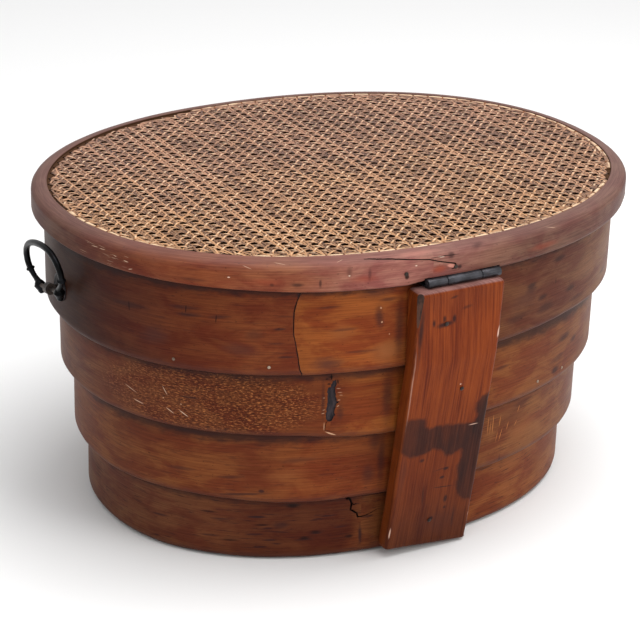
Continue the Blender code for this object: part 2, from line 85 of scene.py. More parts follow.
# %% Light the studio
bpy.ops.mesh.primitive_plane_add(size=16, location=(0, 0, -0.0004))
floor = bpy.context.object
floor.name = "studio_floor"
paper = bpy.data.materials.new("floor paper")
paper.use_nodes = True
paper.node_tree.nodes["Principled BSDF"].inputs["Base Color"].default_value = (0.9, 0.9, 0.9, 1)
paper.node_tree.nodes["Principled BSDF"].inputs["Roughness"].default_value = 0.9
floor.data.materials.append(paper)
sky = bpy.data.worlds.new("white sky")
sky.use_nodes = True
links = sky.node_tree.links
facing = sky.node_tree.nodes.new("ShaderNodeTexCoord")
parts = sky.node_tree.nodes.new("ShaderNodeSeparateXYZ")
glow = sky.node_tree.nodes.new("ShaderNodeMapRange")
links.new(facing.outputs["Generated"], parts.inputs[0])
links.new(parts.outputs[0], glow.inputs["Value"])
for plug, value in (("From Min", -1), ("From Max", 1), ("To Min", 0.60), ("To Max", 0.74)):
    glow.inputs[plug].default_value = value
links.new(glow.outputs[0], sky.node_tree.nodes["Background"].inputs["Strength"])
sky.node_tree.nodes["Background"].inputs["Color"].default_value = (1, 1, 1, 1)
bpy.context.scene.world = sky
bpy.context.scene.view_settings.view_transform = "Standard"


def soft_lamp(name, place, target, size, watts, colour=(1, 1, 1)):
    """A square lamp that looks at a target."""
    bpy.ops.object.light_add(type="AREA", location=place)
    lamp = bpy.context.object
    lamp.name = name
    lamp.data.size = size
    lamp.data.energy = watts
    lamp.data.color = colour
    aim = (Vector(target) - Vector(place)).to_track_quat("-Z", "Y")
    lamp.rotation_euler = aim.to_euler()


soft_lamp("overhead_lamp", (0.3, -0.4, 2.6), (0, 0, 0.1), 2.0, 62)
soft_lamp("front_lamp", (1.5, -2.4, 1.5), (0, 0, 0.15), 1.3, 22, (1, 0.98, 0.95))

# %% [markdown]
# ## The oval
# Every hoop follows the same plan: an oval a little squarer than an ellipse, whose half length and
# half width shrink from hoop to hoop. One function gives a point of it, and a table from the
# distance along the outline to the angle lets the points stand at even distances. Distance zero is
# the middle of the hinge side, and it grows to the right.

# %% Describe the oval plan
oval_power = 2 / 2.15
rim_half = (0.315, 0.252)
top_half = (0.303, 0.240)
hoop_step = 0.013
upper_half = (top_half[0] - hoop_step, top_half[1] - hoop_step)
lower_half = (top_half[0] - 2 * hoop_step, top_half[1] - 2 * hoop_step)
foot_half = (top_half[0] - 3 * hoop_step, top_half[1] - 3 * hoop_step)


def oval(half, angle, inset=0.0):
    """Points of the oval at these angles, drawn in by the inset."""
    c, s = np.cos(angle), np.sin(angle)
    x = (half[0] - inset) * np.sign(c) * np.abs(c) ** oval_power
    y = (half[1] - inset) * np.sign(s) * np.abs(s) ** oval_power
    return x, y


def walk(half):
    """Distances along the oval, and the angle at each."""
    angle = np.linspace(-math.pi / 2, 1.5 * math.pi, 40001)
    x, y = oval(half, angle)
    return np.concatenate(([0.0], np.cumsum(np.hypot(np.diff(x), np.diff(y))))), angle


def angle_at(half, far):
    """Angle at a distance along the oval."""
    distances, angles = walk(half)
    return np.interp(np.mod(far, distances[-1]), distances, angles)


def far_at(half, x):
    """Distance along the oval, negative to the left, at which its hinge side passes x."""
    distances, angles = walk(half)
    angle = -math.acos(math.copysign(abs(x / half[0]) ** (1 / oval_power), x))
    if angle < -math.pi / 2:
        return np.interp(angle + 2 * math.pi, angles, distances) - distances[-1]
    return np.interp(angle, angles, distances)


print("the rim is", round(walk(rim_half)[0][-1], 3), "m round")

# %% [markdown]
# ## Wiring a finish
# A material is a little machine of nodes. This class keeps one material and adds one node per
# call, so that a finish reads like a recipe: take the place on the piece, stretch it, look up
# noise there, and mix colours by it. Colours are given as they look on a screen and turned into
# light values.

# %% Make the helper for materials
def paint(r, g, b, share=1.0):
    """A colour as seen on a screen, 0 to 255, as linear light."""
    parts = [
        (c / 255 / 12.92 if c < 10.3 else ((c / 255 + 0.055) / 1.055) ** 2.4)
        for c in (r, g, b)
    ]
    return tuple(share * c for c in parts) + (1.0,)


class Finish:
    """One material that is being wired."""

    def __init__(self, name):
        self.material = bpy.data.materials.new(name)
        self.material.use_nodes = True
        self.tree = self.material.node_tree
        self.shader = self.tree.nodes["Principled BSDF"]

    def node(self, kind, plugs, out=0, **settings):
        """Add a node and return one of its outputs."""
        made = self.tree.nodes.new("ShaderNode" + kind)
        for key, value in settings.items():
            setattr(made, key, value)
        for plug, value in plugs.items():
            self.join(value, made.inputs[plug])
        return made.outputs[out]

    def join(self, value, socket):
        """Link an output to a socket, or set the socket's own value."""
        if isinstance(value, bpy.types.NodeSocket):
            self.tree.links.new(value, socket)
        else:
            socket.default_value = value

    def grain_place(self):
        """Place on the piece's own map: metres along the grain, metres across it."""
        return self.node("UVMap", {}, uv_map="grain")

    def body_place(self):
        """Place in the box's frame, in metres."""
        return self.node("TexCoord", {}, out="Object")

    def split(self, place):
        """The three parts of a place."""
        made = self.tree.nodes.new("ShaderNodeSeparateXYZ")
        self.join(place, made.inputs[0])
        return made.outputs[0], made.outputs[1], made.outputs[2]

    def pack(self, x, y, z=0.0):
        """A place from three parts."""
        return self.node("CombineXYZ", {0: x, 1: y, 2: z})

    def stretch(self, place, scale, move=(0, 0, 0), tilt=0.0):
        """Turn, stretch and move a place."""
        plugs = {0: place, 1: move, 2: (0, 0, math.radians(tilt)), 3: scale}
        return self.node("Mapping", plugs)

    def noise(self, place, scale=1.0, detail=4.0, rough=0.55, twist=0.0):
        """Soft random values round one half."""
        plugs = {
            "Vector": place, "Scale": scale, "Detail": detail, "Roughness": rough,
            "Distortion": twist,
        }
        return self.node("TexNoise", plugs)

    def sum(self, operation, a, b=0.0, c=0.0):
        """Arithmetic on values."""
        return self.node("Math", {0: a, 1: b, 2: c}, operation=operation)

    def times(self, a, b):
        """Two values multiplied."""
        return self.sum("MULTIPLY", a, b)

    def plus(self, a, b, c):
        """Two values multiplied, and a third added."""
        return self.sum("MULTIPLY_ADD", a, b, c)

    def minus(self, a, b):
        """One value less another."""
        return self.sum("SUBTRACT", a, b)

    def rise(self, value, low, high, first=0.0, last=1.0):
        """A smooth step from first to last while the value goes from low to high."""
        plugs = {"Value": value, "From Min": low, "From Max": high, "To Min": first, "To Max": last}
        return self.node("MapRange", plugs, interpolation_type="SMOOTHSTEP")

    def mix(self, share, under, over, way="MIX"):
        """Lay one colour over another."""
        plugs = {0: share, 6: under, 7: over}
        return self.node("Mix", plugs, out=2, data_type="RGBA", blend_type=way)

    def tint(self, colour, *shares):
        """A colour with its red, green and blue each made stronger or weaker."""
        return self.mix(1.0, colour, (*shares, 1), "MULTIPLY")

    def lay(self, colour, over, value, low, high, most):
        """Lay a colour over another where a value is on the high side, up to a share."""
        return self.mix(self.rise(value, low, high, 0.0, most), colour, over)

    def threads(self, place, scale, move, detail, rough=0.55, twist=0.0, tilt=0.0):
        """Noise on a stretched place, as fine lines or patches."""
        return self.noise(self.stretch(place, scale, move, tilt), 1, detail, rough, twist)

    def ramp(self, value, stops):
        """A colour that follows a value through (place, colour) stops."""
        made = self.tree.nodes.new("ShaderNodeValToRGB")
        elements = made.color_ramp.elements
        while len(elements) < len(stops):
            elements.new(0.5)
        for element, (place, colour) in zip(elements, sorted(stops)):
            element.position = place
        for element, (place, colour) in zip(elements, sorted(stops)):
            element.color = colour
        self.join(value, made.inputs[0])
        return made.outputs[0]

    def blot(self, place, fray, centre, size, tilt=0.0, soft=0.5, ragged=0.6):
        """One inside a ragged oval patch and nought outside it."""
        plugs = {0: place, 1: (*centre, 0), 2: (0, 0, math.radians(tilt)), 3: (*size, 1)}
        local = self.node("Mapping", plugs, vector_type="TEXTURE")
        reach = self.node("VectorMath", {0: local}, out="Value", operation="LENGTH")
        frayed = self.plus(fray, ragged, self.minus(reach, ragged / 2))
        return self.rise(frayed, 1 - soft, 1, 1.0, 0.0)

    def blots(self, place, fray, marks):
        """The strongest of blots (x, z, half width, half height, tilt, strength, softness)."""
        worst = None
        for x, z, wide, tall, tilt, strength, soft in marks:
            one = self.blot(place, fray, (x, z), (wide, tall), tilt, soft)
            one = self.times(one, strength)
            worst = one if worst is None else self.sum("MAXIMUM", worst, one)
        return worst

    def finish(self, colour, rough, height=None, depth=0.0005, strength=1.0, gloss=0.5):
        """Plug colour, roughness, gloss and relief into the shader."""
        self.shader.inputs["Specular IOR Level"].default_value = gloss
        self.join(colour, self.shader.inputs["Base Color"])
        self.join(rough, self.shader.inputs["Roughness"])
        if height is not None:
            plugs = {"Height": height, "Distance": depth, "Strength": strength}
            self.join(self.node("Bump", plugs), self.shader.inputs["Normal"])
        return self.material


print("finish helper ready")

# %% [markdown]
# ## Old varnished wood
# The real bands are bent boards with a worn brown varnish. Seen close, the colour is made of many
# thin layers: drifting red and golden patches, fine lines along the grain, dark dashes of figure,
# painted shade and dirt under each lip and over the rounded lower lip, painted shade in the crevice
# under the lip, and single stains and scratches. On the rim's crown a grey purple is painted,
# partly worn varnish and partly a painted sheen, with a painted shadow line along the rim's lower
# edge.
# The recipe takes the hoop's own map, where one direction runs round the box in metres and the
# other is the true height, so every mark can be put where the real one is. Varnish is glossy but
# reflects little when it is seen straight on.

# %% Write the wood recipe
def metres(rows, lengths=4):
    """Rows whose first numbers are millimetres, with those in metres."""
    return [(*(n / 1000 for n in row[:lengths]), *row[lengths:]) for row in rows]


def wood_finish(
    name, half, low, high, zones, marks, strokes, seed, figure, crackle=None, crown=None
):
    """Varnished bent wood: zones (x, r, g, b), marks (colour, blots), strokes (thin lines); painted
    shade and dirt at the lips, or a painted sheen on a crown.
    """
    made = Finish(name)
    place = made.grain_place()
    u, v, _ = made.split(place)
    around = walk(half)[0][-1]
    shift = (seed * 1.7, seed * 0.9, seed)
    share = made.sum("FRACT", made.plus(u, 1 / around, 1.5))
    spot_x = made.plus(share, around, -around / 2)
    spot = made.pack(spot_x, v)
    patch = made.threads(place, (20, 46, 1), shift, 4, 0.6, 0.5)
    cloud = made.threads(place, (6, 17, 1), shift, 3, 0.55, 0.3)
    lines = made.threads(place, (20, 760, 1), shift, 4, 0.68, 0.2)
    flame = made.threads(place, (38, 430, 1), shift, 3, 0.6, 0.5)
    speck = made.threads(place, (230, 560, 1), shift, 2, 0.5)
    fray = made.threads(place, (70, 150, 1), shift, 4, 0.65)
    wave = made.plus(cloud, 0.05, made.minus(share, 0.025))
    stops = [(far_at(half, x / 1000) / around + 0.5, paint(*tint)) for x, *tint in zones]
    behind = tuple((a + b) / 2 for a, b in zip(stops[0][1], stops[-1][1]))
    stops += [(0.0, behind), (1.0, behind)]
    warmth = (1.06, 0.92, 0.70, 1) if crown is None else (1.0, 0.97, 0.90, 1)
    base = made.mix(1.0, made.ramp(wave, stops), warmth, "MULTIPLY")
    red = made.tint(base, 0.80, 0.62, 0.64)
    gold = made.tint(base, 1.14, 1.24, 1.12)
    colour = made.mix(made.rise(patch, 0.36, 0.64), red, gold)
    colour = made.lay(colour, made.tint(base, 0.50, 0.42, 0.52), cloud, 0.56, 0.74, 0.35)
    colour = made.lay(colour, made.tint(colour, 0.50, 0.42, 0.42), lines, 0.56, 0.36, 0.42)
    colour = made.lay(colour, made.tint(colour, 1.5, 1.6, 1.6), lines, 0.52, 0.70, 0.36)
    colour = made.lay(colour, paint(44, 24, 24), flame, 0.56, 0.72, figure)
    colour = made.lay(colour, paint(40, 20, 16), speck, 0.66, 0.74, 0.6)
    height = made.plus(lines, 0.6, made.times(flame, 0.25))
    wet = made.plus(cloud, 0.25, 0.33)
    if crackle is not None:
        left, right_end, bottom, ceiling = crackle
        centre = ((left + right_end) / 2, (bottom + ceiling) / 2)
        size = ((right_end - left) / 2, (ceiling - bottom) / 2)
        zone = made.blot(spot, fray, centre, size, soft=0.25, ragged=0.3)
        zone = made.times(zone, made.rise(spot_x, left, left + 0.14, 0.4, 1.0))
        dimple = made.threads(spot, (280, 820, 1), shift, 2, 0.6, 0.4, tilt=8)
        flakes = made.times(made.rise(dimple, 0.55, 0.66), zone)
        shade = made.times(made.rise(dimple, 0.50, 0.36), made.times(zone, 0.75))
        colour = made.mix(shade, colour, paint(46, 22, 14))
        colour = made.mix(made.times(flakes, 0.5), colour, paint(204, 130, 74))
        height = made.plus(flakes, 0.8, height)
    raw = made.mix(lines, paint(44, 26, 16), paint(86, 58, 38))
    if crown is None:
        # painted shade and dirt: darker just under what overhangs the band, the rim or the lip of
        # the band above
        under = made.plus(fray, -0.016, made.minus(high + 0.008, v))
        shadow = 0.011 if high > 0.3 else 0.014
        colour = made.lay(colour, paint(42, 26, 25), under, shadow, 0.002, 0.8)
        # painted shade and dirt: darker over the rounded lower lip
        above = made.plus(fray, 0.012, made.minus(v, low + 0.006))
        colour = made.lay(colour, paint(76, 44, 38), above, 0.012, 0.001, 0.5)
        # painted shade: near black on the underside of the lip, in the crevice to the band below
        colour = made.lay(colour, paint(30, 16, 12), v, low + 0.0025, low - 0.003, 0.85)
        inside = made.rise(v, low - 0.016, low - 0.010, 1.0, 0.0)
    else:
        start, stop, tint = crown
        # painted sheen and worn varnish: the crown is painted a grey purple
        worn = made.mix(made.rise(lines, 0.3, 0.7), paint(*[0.80 * c for c in tint]), paint(*tint))
        edge = made.plus(fray, 0.006, made.minus(v, 0.003))
        colour = made.lay(colour, worn, edge, start, stop, 0.6)
        # painted shadow: a dark line is painted along the rim's lower edge
        colour = made.lay(colour, paint(34, 18, 14), v, low + 0.0022, low - 0.0008, 0.85)
        inside = made.rise(v, 0.3524, 0.3530)
    for tint, rows in marks:
        blots = [(far_at(half, x), *rest) for x, *rest in metres(rows)]
        colour = made.mix(made.blots(spot, fray, blots), colour, tint)
    if strokes:
        rows = []
        for x0, z0, x1, z1, wide, strength in metres(strokes, 5):
            a, b = far_at(half, x0), far_at(half, x1)
            tilt = math.degrees(math.atan2(z1 - z0, b - a))
            long = math.hypot(b - a, z1 - z0)
            rows.append(((a + b) / 2, (z0 + z1) / 2, long / 2, wide / 2, tilt, strength, 0.5))
        cut = made.blots(spot, fray, rows)
        colour = made.mix(cut, colour, paint(222, 186, 158))
        height = made.plus(cut, -0.8, height)
    colour = made.mix(inside, colour, raw)
    wet = made.plus(inside, 0.3, wet)
    return made.finish(colour, wet, height, 0.0005, 0.55, gloss=0.07)


print("wood recipe ready")

# %% [markdown]
# ## Bending a hoop
# On the real box each band is a thin board, steamed and bent round a form. In Blender the same
# thing is a circle of corners laid on the oval and extruded along the board's section: down the
# outer face, round the soft lower lip, back up the inner face, and bridged shut at the top. The
# order of the corners is known, so a map with the true distances can be laid on the faces.

# %% Make the hoop helper
def pick(piece):
    """Make a piece the only selected one, and the active one."""
    bpy.ops.object.select_all(action="DESELECT")
    piece.select_set(True)
    bpy.context.view_layer.objects.active = piece


def edit_all():
    """Go to edit mode with everything selected."""
    bpy.ops.object.mode_set(mode="EDIT")
    bpy.ops.mesh.select_all(action="SELECT")


def turn_out():
    """Turn all faces outward, and go back to object mode."""
    bpy.ops.mesh.select_all(action="SELECT")
    bpy.ops.mesh.normals_make_consistent(inside=False)
    bpy.ops.object.mode_set(mode="OBJECT")


def choose(piece, kind, test):
    """Go to edit mode with only the vertices, edges or polygons that pass the test selected."""
    if bpy.context.mode != "OBJECT":
        bpy.ops.object.mode_set(mode="OBJECT")
    for group in (piece.data.vertices, piece.data.edges, piece.data.polygons):
        group.foreach_set("select", np.zeros(len(group), bool))
    for part in getattr(piece.data, kind):
        part.select = bool(test(part))
    kinds = ("vertices", "edges", "polygons")
    bpy.context.tool_settings.mesh_select_mode = [kind == k for k in kinds]
    bpy.ops.object.mode_set(mode="EDIT")


def ripple(points, size, layer=0.0):
    """Soft noise at points, from -1 to 1, with bumps of about the given size."""
    return np.array(
        [field.noise(Vector(p) / size + Vector((layer, 7.3 * layer, 2.1))) for p in points]
    )


def bend(name, half, section, count, span=None, anchor=0, sense=-1, move=None):
    """A hoop, or part of one, with its section of (inset, height) corners and a grain map."""
    around = walk(half)[0][-1]
    start, stop = span if span else (0.0, around)
    whole = stop - start > around - 1e-6
    places = np.linspace(start, stop, count, endpoint=not whole)
    bpy.ops.mesh.primitive_circle_add(vertices=count, radius=half[0], calc_uvs=False)
    hoop = bpy.context.object
    hoop.name = name
    x, y = oval(half, angle_at(half, places), section[0][0])
    level_row = np.column_stack((x, y, np.full(count, section[0][1])))
    hoop.data.vertices.foreach_set("co", level_row.ravel())
    if not whole:
        choose(hoop, "edges", lambda e: set(e.vertices) == {0, count - 1})
        bpy.ops.mesh.delete(type="EDGE")
        bpy.ops.object.mode_set(mode="OBJECT")
    bpy.context.tool_settings.mesh_select_mode = (True, False, False)
    edit_all()
    for (inset, height), (after, ahead) in zip(section, section[1:]):
        bpy.ops.mesh.extrude_region_move(TRANSFORM_OT_translate={"value": (0, 0, ahead - height)})
        share = ((half[0] - after) / (half[0] - inset), (half[1] - after) / (half[1] - inset), 1)
        bpy.ops.transform.resize(value=share, center_override=(0, 0, 0))
    rows = ({0}, {len(section) - 1})
    choose(hoop, "edges", lambda e: {v // count for v in e.vertices} in rows)
    bpy.ops.mesh.bridge_edge_loops()
    if not whole:
        bpy.ops.mesh.select_all(action="SELECT")
        bpy.ops.mesh.fill_holes(sides=0)
    turn_out()
    lay_grain(hoop, places, around, section, anchor, sense, whole)
    if not whole:
        choose(hoop, "polygons", lambda p: p.loop_total > 4)
        bpy.ops.mesh.quads_convert_to_tris(quad_method="BEAUTY", ngon_method="BEAUTY")
        bpy.ops.object.mode_set(mode="OBJECT")
    if move is not None:
        settle(hoop, half, places, section, move)
    return hoop


def lay_grain(hoop, places, around, section, anchor, sense, whole):
    """Map each face: metres along the bend, and metres round the section."""
    mesh, count, rows = hoop.data, len(places), len(section)
    closed = np.array(list(section) + [section[0]], float)
    steps = np.hypot(*np.diff(closed, axis=0).T)
    across = sense * np.concatenate(([0.0], np.cumsum(steps)))
    across += section[anchor][1] - across[anchor]
    along = np.append(places, places[0] + around)
    corner = np.zeros(len(mesh.loops), np.int32)
    mesh.loops.foreach_get("vertex_index", corner)
    first = np.zeros(len(mesh.polygons), np.int32)
    total = np.zeros(len(mesh.polygons), np.int32)
    mesh.polygons.foreach_get("loop_start", first)
    mesh.polygons.foreach_get("loop_total", total)
    i, k = corner % count, corner // count
    wraps_i = np.repeat(np.maximum.reduceat(i, first) - np.minimum.reduceat(i, first) > 1, total)
    wraps_k = np.repeat(np.maximum.reduceat(k, first) - np.minimum.reduceat(k, first) > 1, total)
    cap = np.repeat(total > 4, total)
    i = np.where(wraps_i & (i == 0), count, i)
    k = np.where(wraps_k & (k == 0) & ~cap, rows, k)
    u = along[i] + np.where(cap, closed[k, 0], 0.0)
    chart = mesh.uv_layers.new(name="grain")
    chart.data.foreach_set("uv", np.column_stack((u, across[k])).astype(np.float32).ravel())


def settle(hoop, half, places, section, move):
    """Shift the corners: move gives how far each goes along, out and up."""
    count = len(places)
    number = np.arange(len(hoop.data.vertices))
    spot = np.array(section, float)[number // count]
    far = places[number % count]
    points = np.zeros(len(number) * 3, np.float32)
    hoop.data.vertices.foreach_get("co", points)
    along, out, up = move(far, spot[:, 1], spot[:, 0], points.reshape(-1, 3))
    x, y = oval(half, angle_at(half, far + along), spot[:, 0] - out)
    moved = np.column_stack((x, y, spot[:, 1] + up))
    hoop.data.vertices.foreach_set("co", moved.ravel())
    hoop.data.update()


def dress(piece, material, body, nodes=(), angle=35):
    """Give a finished piece its material and body, and hide what it stands for. Cuts stay raw."""
    cores = [raw for raw in piece.data.materials if raw]
    cut_faces = [(p, p.material_index) for p in piece.data.polygons if p.material_index > 0]
    piece.data.materials.clear()
    for layer in (material, *cores):
        piece.data.materials.append(layer)
    for face, core in cut_faces:
        face.material_index = min(core, len(cores))
    pick(piece)
    bpy.ops.object.shade_smooth_by_angle(angle=math.radians(angle))
    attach(piece, body)
    if nodes:
        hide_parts(*nodes)
    print(piece.name, len(piece.data.polygons), "faces")


print("hoop helper ready")

# %% [markdown]
# ## The four bands
# The section of a band is a board 12.7 mm thick, whose lower outer edge is worn round. Each board
# waves by a fraction of a millimetre, as steamed wood does. The foot, lower and upper bands are
# whole hoops here: the joints of the upper band and the foot are cut in afterwards. The boards were
# also trimmed by hand, so their lower edges are not quite level: a short table says how many
# millimetres each edge sits high or low round the box.

# %% Bend the three lower bands
board = 0.0127
lip_in, lip_up = 0.0081, 0.009


def band_section(low, high):
    """Corners of a band's section, from the top of its outer face round to its inner top."""
    rows = [(0.0, z) for z in np.linspace(high, low + lip_up, 15)]
    turn_steps = [math.radians(a) for a in np.linspace(11, 90, 8)]
    rows += [(lip_in * (1 - math.cos(a)), low + lip_up * (1 - math.sin(a))) for a in turn_steps]
    rows += [(board - 0.0008, low), (board, low + 0.0008)]
    rows += [(board, z) for z in np.linspace(low + 0.02, high - 0.0006, 4)]
    return rows + [(board - 0.0006, high), (0.0006, high)]


def trimmed(far, around, rows):
    """How high or low a hand-trimmed edge sits, from rows of (distance, millimetres)."""
    return 0.001 * np.interp((far + around / 2) % around - around / 2, *zip(*rows))


def wavy(low, seed, around, rows):
    """How a steamed board strays from its form."""

    def move(far, height, inset, points):
        slow = 0.0005 * ripple(points, 0.11, seed) + 0.00018 * ripple(points, 0.03, seed)
        lip = np.clip(1 - np.abs(height - low) / 0.012, 0, 1)
        up = lip * (
            0.0007 * ripple(points, 0.06, seed + 3) + 0.0003 * ripple(points, 0.012, seed + 5)
        )
        up += np.clip(1 - (height - low) / 0.035, 0, 1) * trimmed(far, around, rows)
        return 0 * far, slow * (inset < board / 2), up

    return move


lip_rows = {
    "foot": ((0, 0), (1, 0)),
    "lower": (
        (-0.60, 0), (-0.34, -2), (-0.25, -0.5), (-0.20, -2), (-0.16, -4.5), (-0.12, -4.5),
        (-0.07, -2.5), (0.06, -3), (0.12, -3.5), (0.36, -3), (0.60, 0),
    ),
    "upper": (
        (-0.60, 0), (-0.34, 4), (-0.21, 3.5), (-0.15, 2.5), (-0.115, 0), (-0.085, -2.5),
        (-0.06, -3.5), (0.06, -3.5), (0.12, -2.5), (0.18, -1), (0.36, 0), (0.60, 0),
    ),
    "top": ((-0.60, 0), (0.0, 0), (0.055, 4), (0.105, 6.5), (0.16, 8.5), (0.36, 8), (0.60, 0)),
}
bands = {}
hoops = (
    ("foot", foot_half, 0.0, -0.067), ("lower", lower_half, 0.073, -0.003),
    ("upper", upper_half, 0.146, -0.114),
)
for word, half, low, seam_x in hoops:
    seam = far_at(half, seam_x)
    around = walk(half)[0][-1]
    section, stray = band_section(low, low + 0.089), wavy(low, low * 50 + 1, around, lip_rows[word])
    name, span = "bent_band_" + word, (seam, seam + around)
    bands[word] = bend(name, half, section, 360, span, move=stray)
    print(word, "band", round(around, 3), "m round")

# %% [markdown]
# ## The top band and its closing piece
# The top band does not meet itself: a short closing piece, cut to the same curve, fills the gap
# beside the hinge. Its left end is not straight but bows a little, and its upper corner is
# rounded. Both boards follow the same bowed line, so the joint stays a thin dark crack.

# %% Bend the top band and the closing piece
top_span = (0.219, 0.310)
joint_x, joint_right_x = -0.152, 0.005
joint_far, joint_right = far_at(top_half, joint_x), far_at(top_half, joint_right_x)
joint_heights = (0.219, 0.223, 0.229, 0.239, 0.250, 0.265, 0.276, 0.286, 0.300, 0.305, 0.310)
joint_bows = (0.0050, 0.0045, 0.002, 0.001, -0.001, -0.004, -0.0042, -0.004, -0.001, 0.0015, 0.006)


def bowed(sides, seed):
    """Wavy board whose end at the joint follows the bowed line."""
    plain = wavy(top_span[0], seed, walk(top_half)[0][-1], lip_rows["top"])

    def move(far, height, inset, points):
        along, out, up = plain(far, height, inset, points)
        near = np.clip(1 - np.abs(far - sides) / 0.05, 0, 1)
        bow = np.interp(height, joint_heights, joint_bows)
        bow += 0.0004 * ripple(points, 0.006, seed + 9)
        return near * bow, out, up

    return move


around = walk(top_half)[0][-1]
top_section = band_section(*top_span)
long_span = (joint_right + 0.0003, joint_far + around - 0.0004)
bands["top"] = bend(
    "bent_band_top", top_half, top_section, 330, long_span, move=bowed(long_span[1], 11)
)
short_span = (joint_far + 0.0004, joint_right - 0.0003)
bands["closing"] = bend(
    "bent_closing_piece", top_half, top_section, 44, short_span, move=bowed(short_span[0], 12)
)
print("closing piece", round(short_span[1] - short_span[0], 3), "m long")

# %% [markdown]
# ## Cuts with ragged edges
# Where a board has split or lost a chip, a thin ragged wedge is taken out of it with a Boolean, so
# the damage has real depth from every side. The wedge is a ragged outline pushed into the wood.

# %% Make the cutting helper
def carve(piece, tool, way="DIFFERENCE"):
    """Cut a piece with a tool, or join them. The tool is used up."""
    pick(piece)
    change = piece.modifiers.new("change", "BOOLEAN")
    change.operation, change.solver, change.object = way, "EXACT", tool
    if tool.data.materials:
        change.material_mode = "TRANSFER"
    bpy.ops.object.modifier_apply(modifier=change.name)
    bpy.data.objects.remove(tool)


def cut_out(piece, outline, into, raw):
    """Take a prism out of a piece: an outline off its surface, pushed in along a direction."""
    bpy.ops.mesh.primitive_circle_add(vertices=len(outline), fill_type="NGON", calc_uvs=False)
    tool = bpy.context.object
    tool.data.vertices.foreach_set("co", np.array(outline, float).ravel())
    tool.data.materials.append(raw)
    edit_all()
    bpy.ops.mesh.extrude_region_move(TRANSFORM_OT_translate={"value": tuple(into)})
    turn_out()
    carve(piece, tool)


def ragged_line(points, wide, jitter, seed):
    """Outline round a line of (far, height, width share) points, with ragged edges."""
    fine = []
    for (a, b, w), (c, d, x) in zip(points, points[1:]):
        count = max(2, int(math.hypot(c - a, d - b) / 0.002))
        fine += [
            (a + (c - a) * t / count, b + (d - b) * t / count, w + (x - w) * t / count)
            for t in range(count)
        ]
    fine.append(points[-1])
    near, away = [], []
    for n, (far, height, share) in enumerate(fine):
        before, after = fine[max(n - 1, 0)], fine[min(n + 1, len(fine) - 1)]
        run = Vector((after[0] - before[0], after[1] - before[1])).normalized()
        for side, rows in ((1, near), (-1, away)):
            stray = jitter * field.noise(Vector((far * 400, height * 400, seed + side)))
            reach = side * (wide * share / 2) + stray
            rows.append((far - run.y * reach, height + run.x * reach))
    return near + away[::-1]


def ragged_ring(corners, jitter, seed):
    """A closed outline through corners, with ragged edges."""
    ring = []
    for (a, b), (c, d) in zip(corners, corners[1:] + corners[:1]):
        count = max(2, int(math.hypot(c - a, d - b) / 0.0012))
        for t in range(count):
            x, z = a + (c - a) * t / count, b + (d - b) * t / count
            stray = Vector((x * 600, z * 400, seed))
            ring.append((x + jitter * field.noise(stray), z + jitter * field.noise(stray * 1.7)))
    return ring


off_side = 0.003


def on_side(half, outline):
    """Points off the side of a hoop from (far, height) pairs, and the way into the wood."""
    far = np.array([p[0] for p in outline])
    x, y = oval(half, angle_at(half, far), -off_side)
    a, b = (oval(half, angle_at(half, far.mean() + d)) for d in (-0.002, 0.002))
    inward = Vector((a[1] - b[1], b[0] - a[0], 0)).normalized()
    return [(px, py, p[1]) for px, py, p in zip(x, y, outline)], inward


print("cutting helper ready")

# %% [markdown]
# ## The damage in the bands
# Two boards are damaged on the hinge side. The upper band has lost a long shallow chip beside its
# own joint, with a pale hooked scratch below it, and the foot band's joint is a stepped crack with
# a small hole at its top.

# %% Cut the damage into the bands
def flat(r, g, b, rough=0.8):
    """A plain mottled finish for the inside of cuts and for small dark parts."""
    made = Finish("core")
    place = made.body_place()
    tone = made.threads(place, (300, 300, 90), (0, 0, 0), 4, 0.6)
    tone = made.rise(tone, 0.38, 0.66)
    colour = made.mix(tone, paint(r, g, b), paint(r * 1.7, g * 1.6, b * 1.5))
    return made.finish(colour, rough, gloss=0.2)


raw_dark = flat(26, 15, 11)
raw_grey = flat(34, 30, 34)
raw_brown = flat(50, 36, 31)


def side_cut(piece, half, points, wide, deep, jitter, seed):
    """Cut a ragged groove along (x, z, width share) points on the hinge side, in millimetres."""
    line = [(far_at(half, x), z, share) for x, z, share in metres(points, 2)]
    outline, inward = on_side(half, ragged_line(line, wide, jitter, seed))
    cut_out(piece, outline, inward * (deep + off_side), raw_dark)


def side_pocket(piece, half, corners, deep, jitter, seed, raw):
    """Cut a shallow ragged pocket with (x, z) corners into the hinge side, in millimetres."""
    ring = ragged_ring([(far_at(half, x), z) for x, z in metres(corners, 2)], jitter, seed)
    outline, inward = on_side(half, ring)
    cut_out(piece, outline, inward * (deep + off_side), raw)


chip = [
    (-114.4, 202), (-112.7, 208.2), (-109.4, 209), (-108.8, 204.7), (-110.6, 199.6),
    (-109.5, 193.1), (-108.4, 187.2), (-106, 185.9), (-108.3, 184), (-109.6, 178.2), (-110.1, 174),
    (-109.4, 172.3), (-111.2, 168.7), (-113.5, 165.7), (-117.3, 165.5), (-118.4, 171.5),
    (-117.7, 180), (-116.9, 188.4), (-117.6, 196.9), (-116.3, 201.1),
]
side_pocket(bands["upper"], upper_half, chip, 0.0013, 0.0011, 2.0, raw_grey)
seam_top = [(-114, 223, 0.4), (-113.6, 210, 1)]
side_cut(bands["upper"], upper_half, seam_top, 0.0010, 0.0012, 0.0002, 3.0)
hook = [(-117.3, 165.5, 0.8), (-118.8, 160, 0.8), (-118.8, 156.5, 0.7), (-115, 155.2, 0.6)]
side_cut(bands["upper"], upper_half, hook + [(-109.4, 154.1, 0.3)], 0.0007, 0.0010, 0.0001, 3.5)
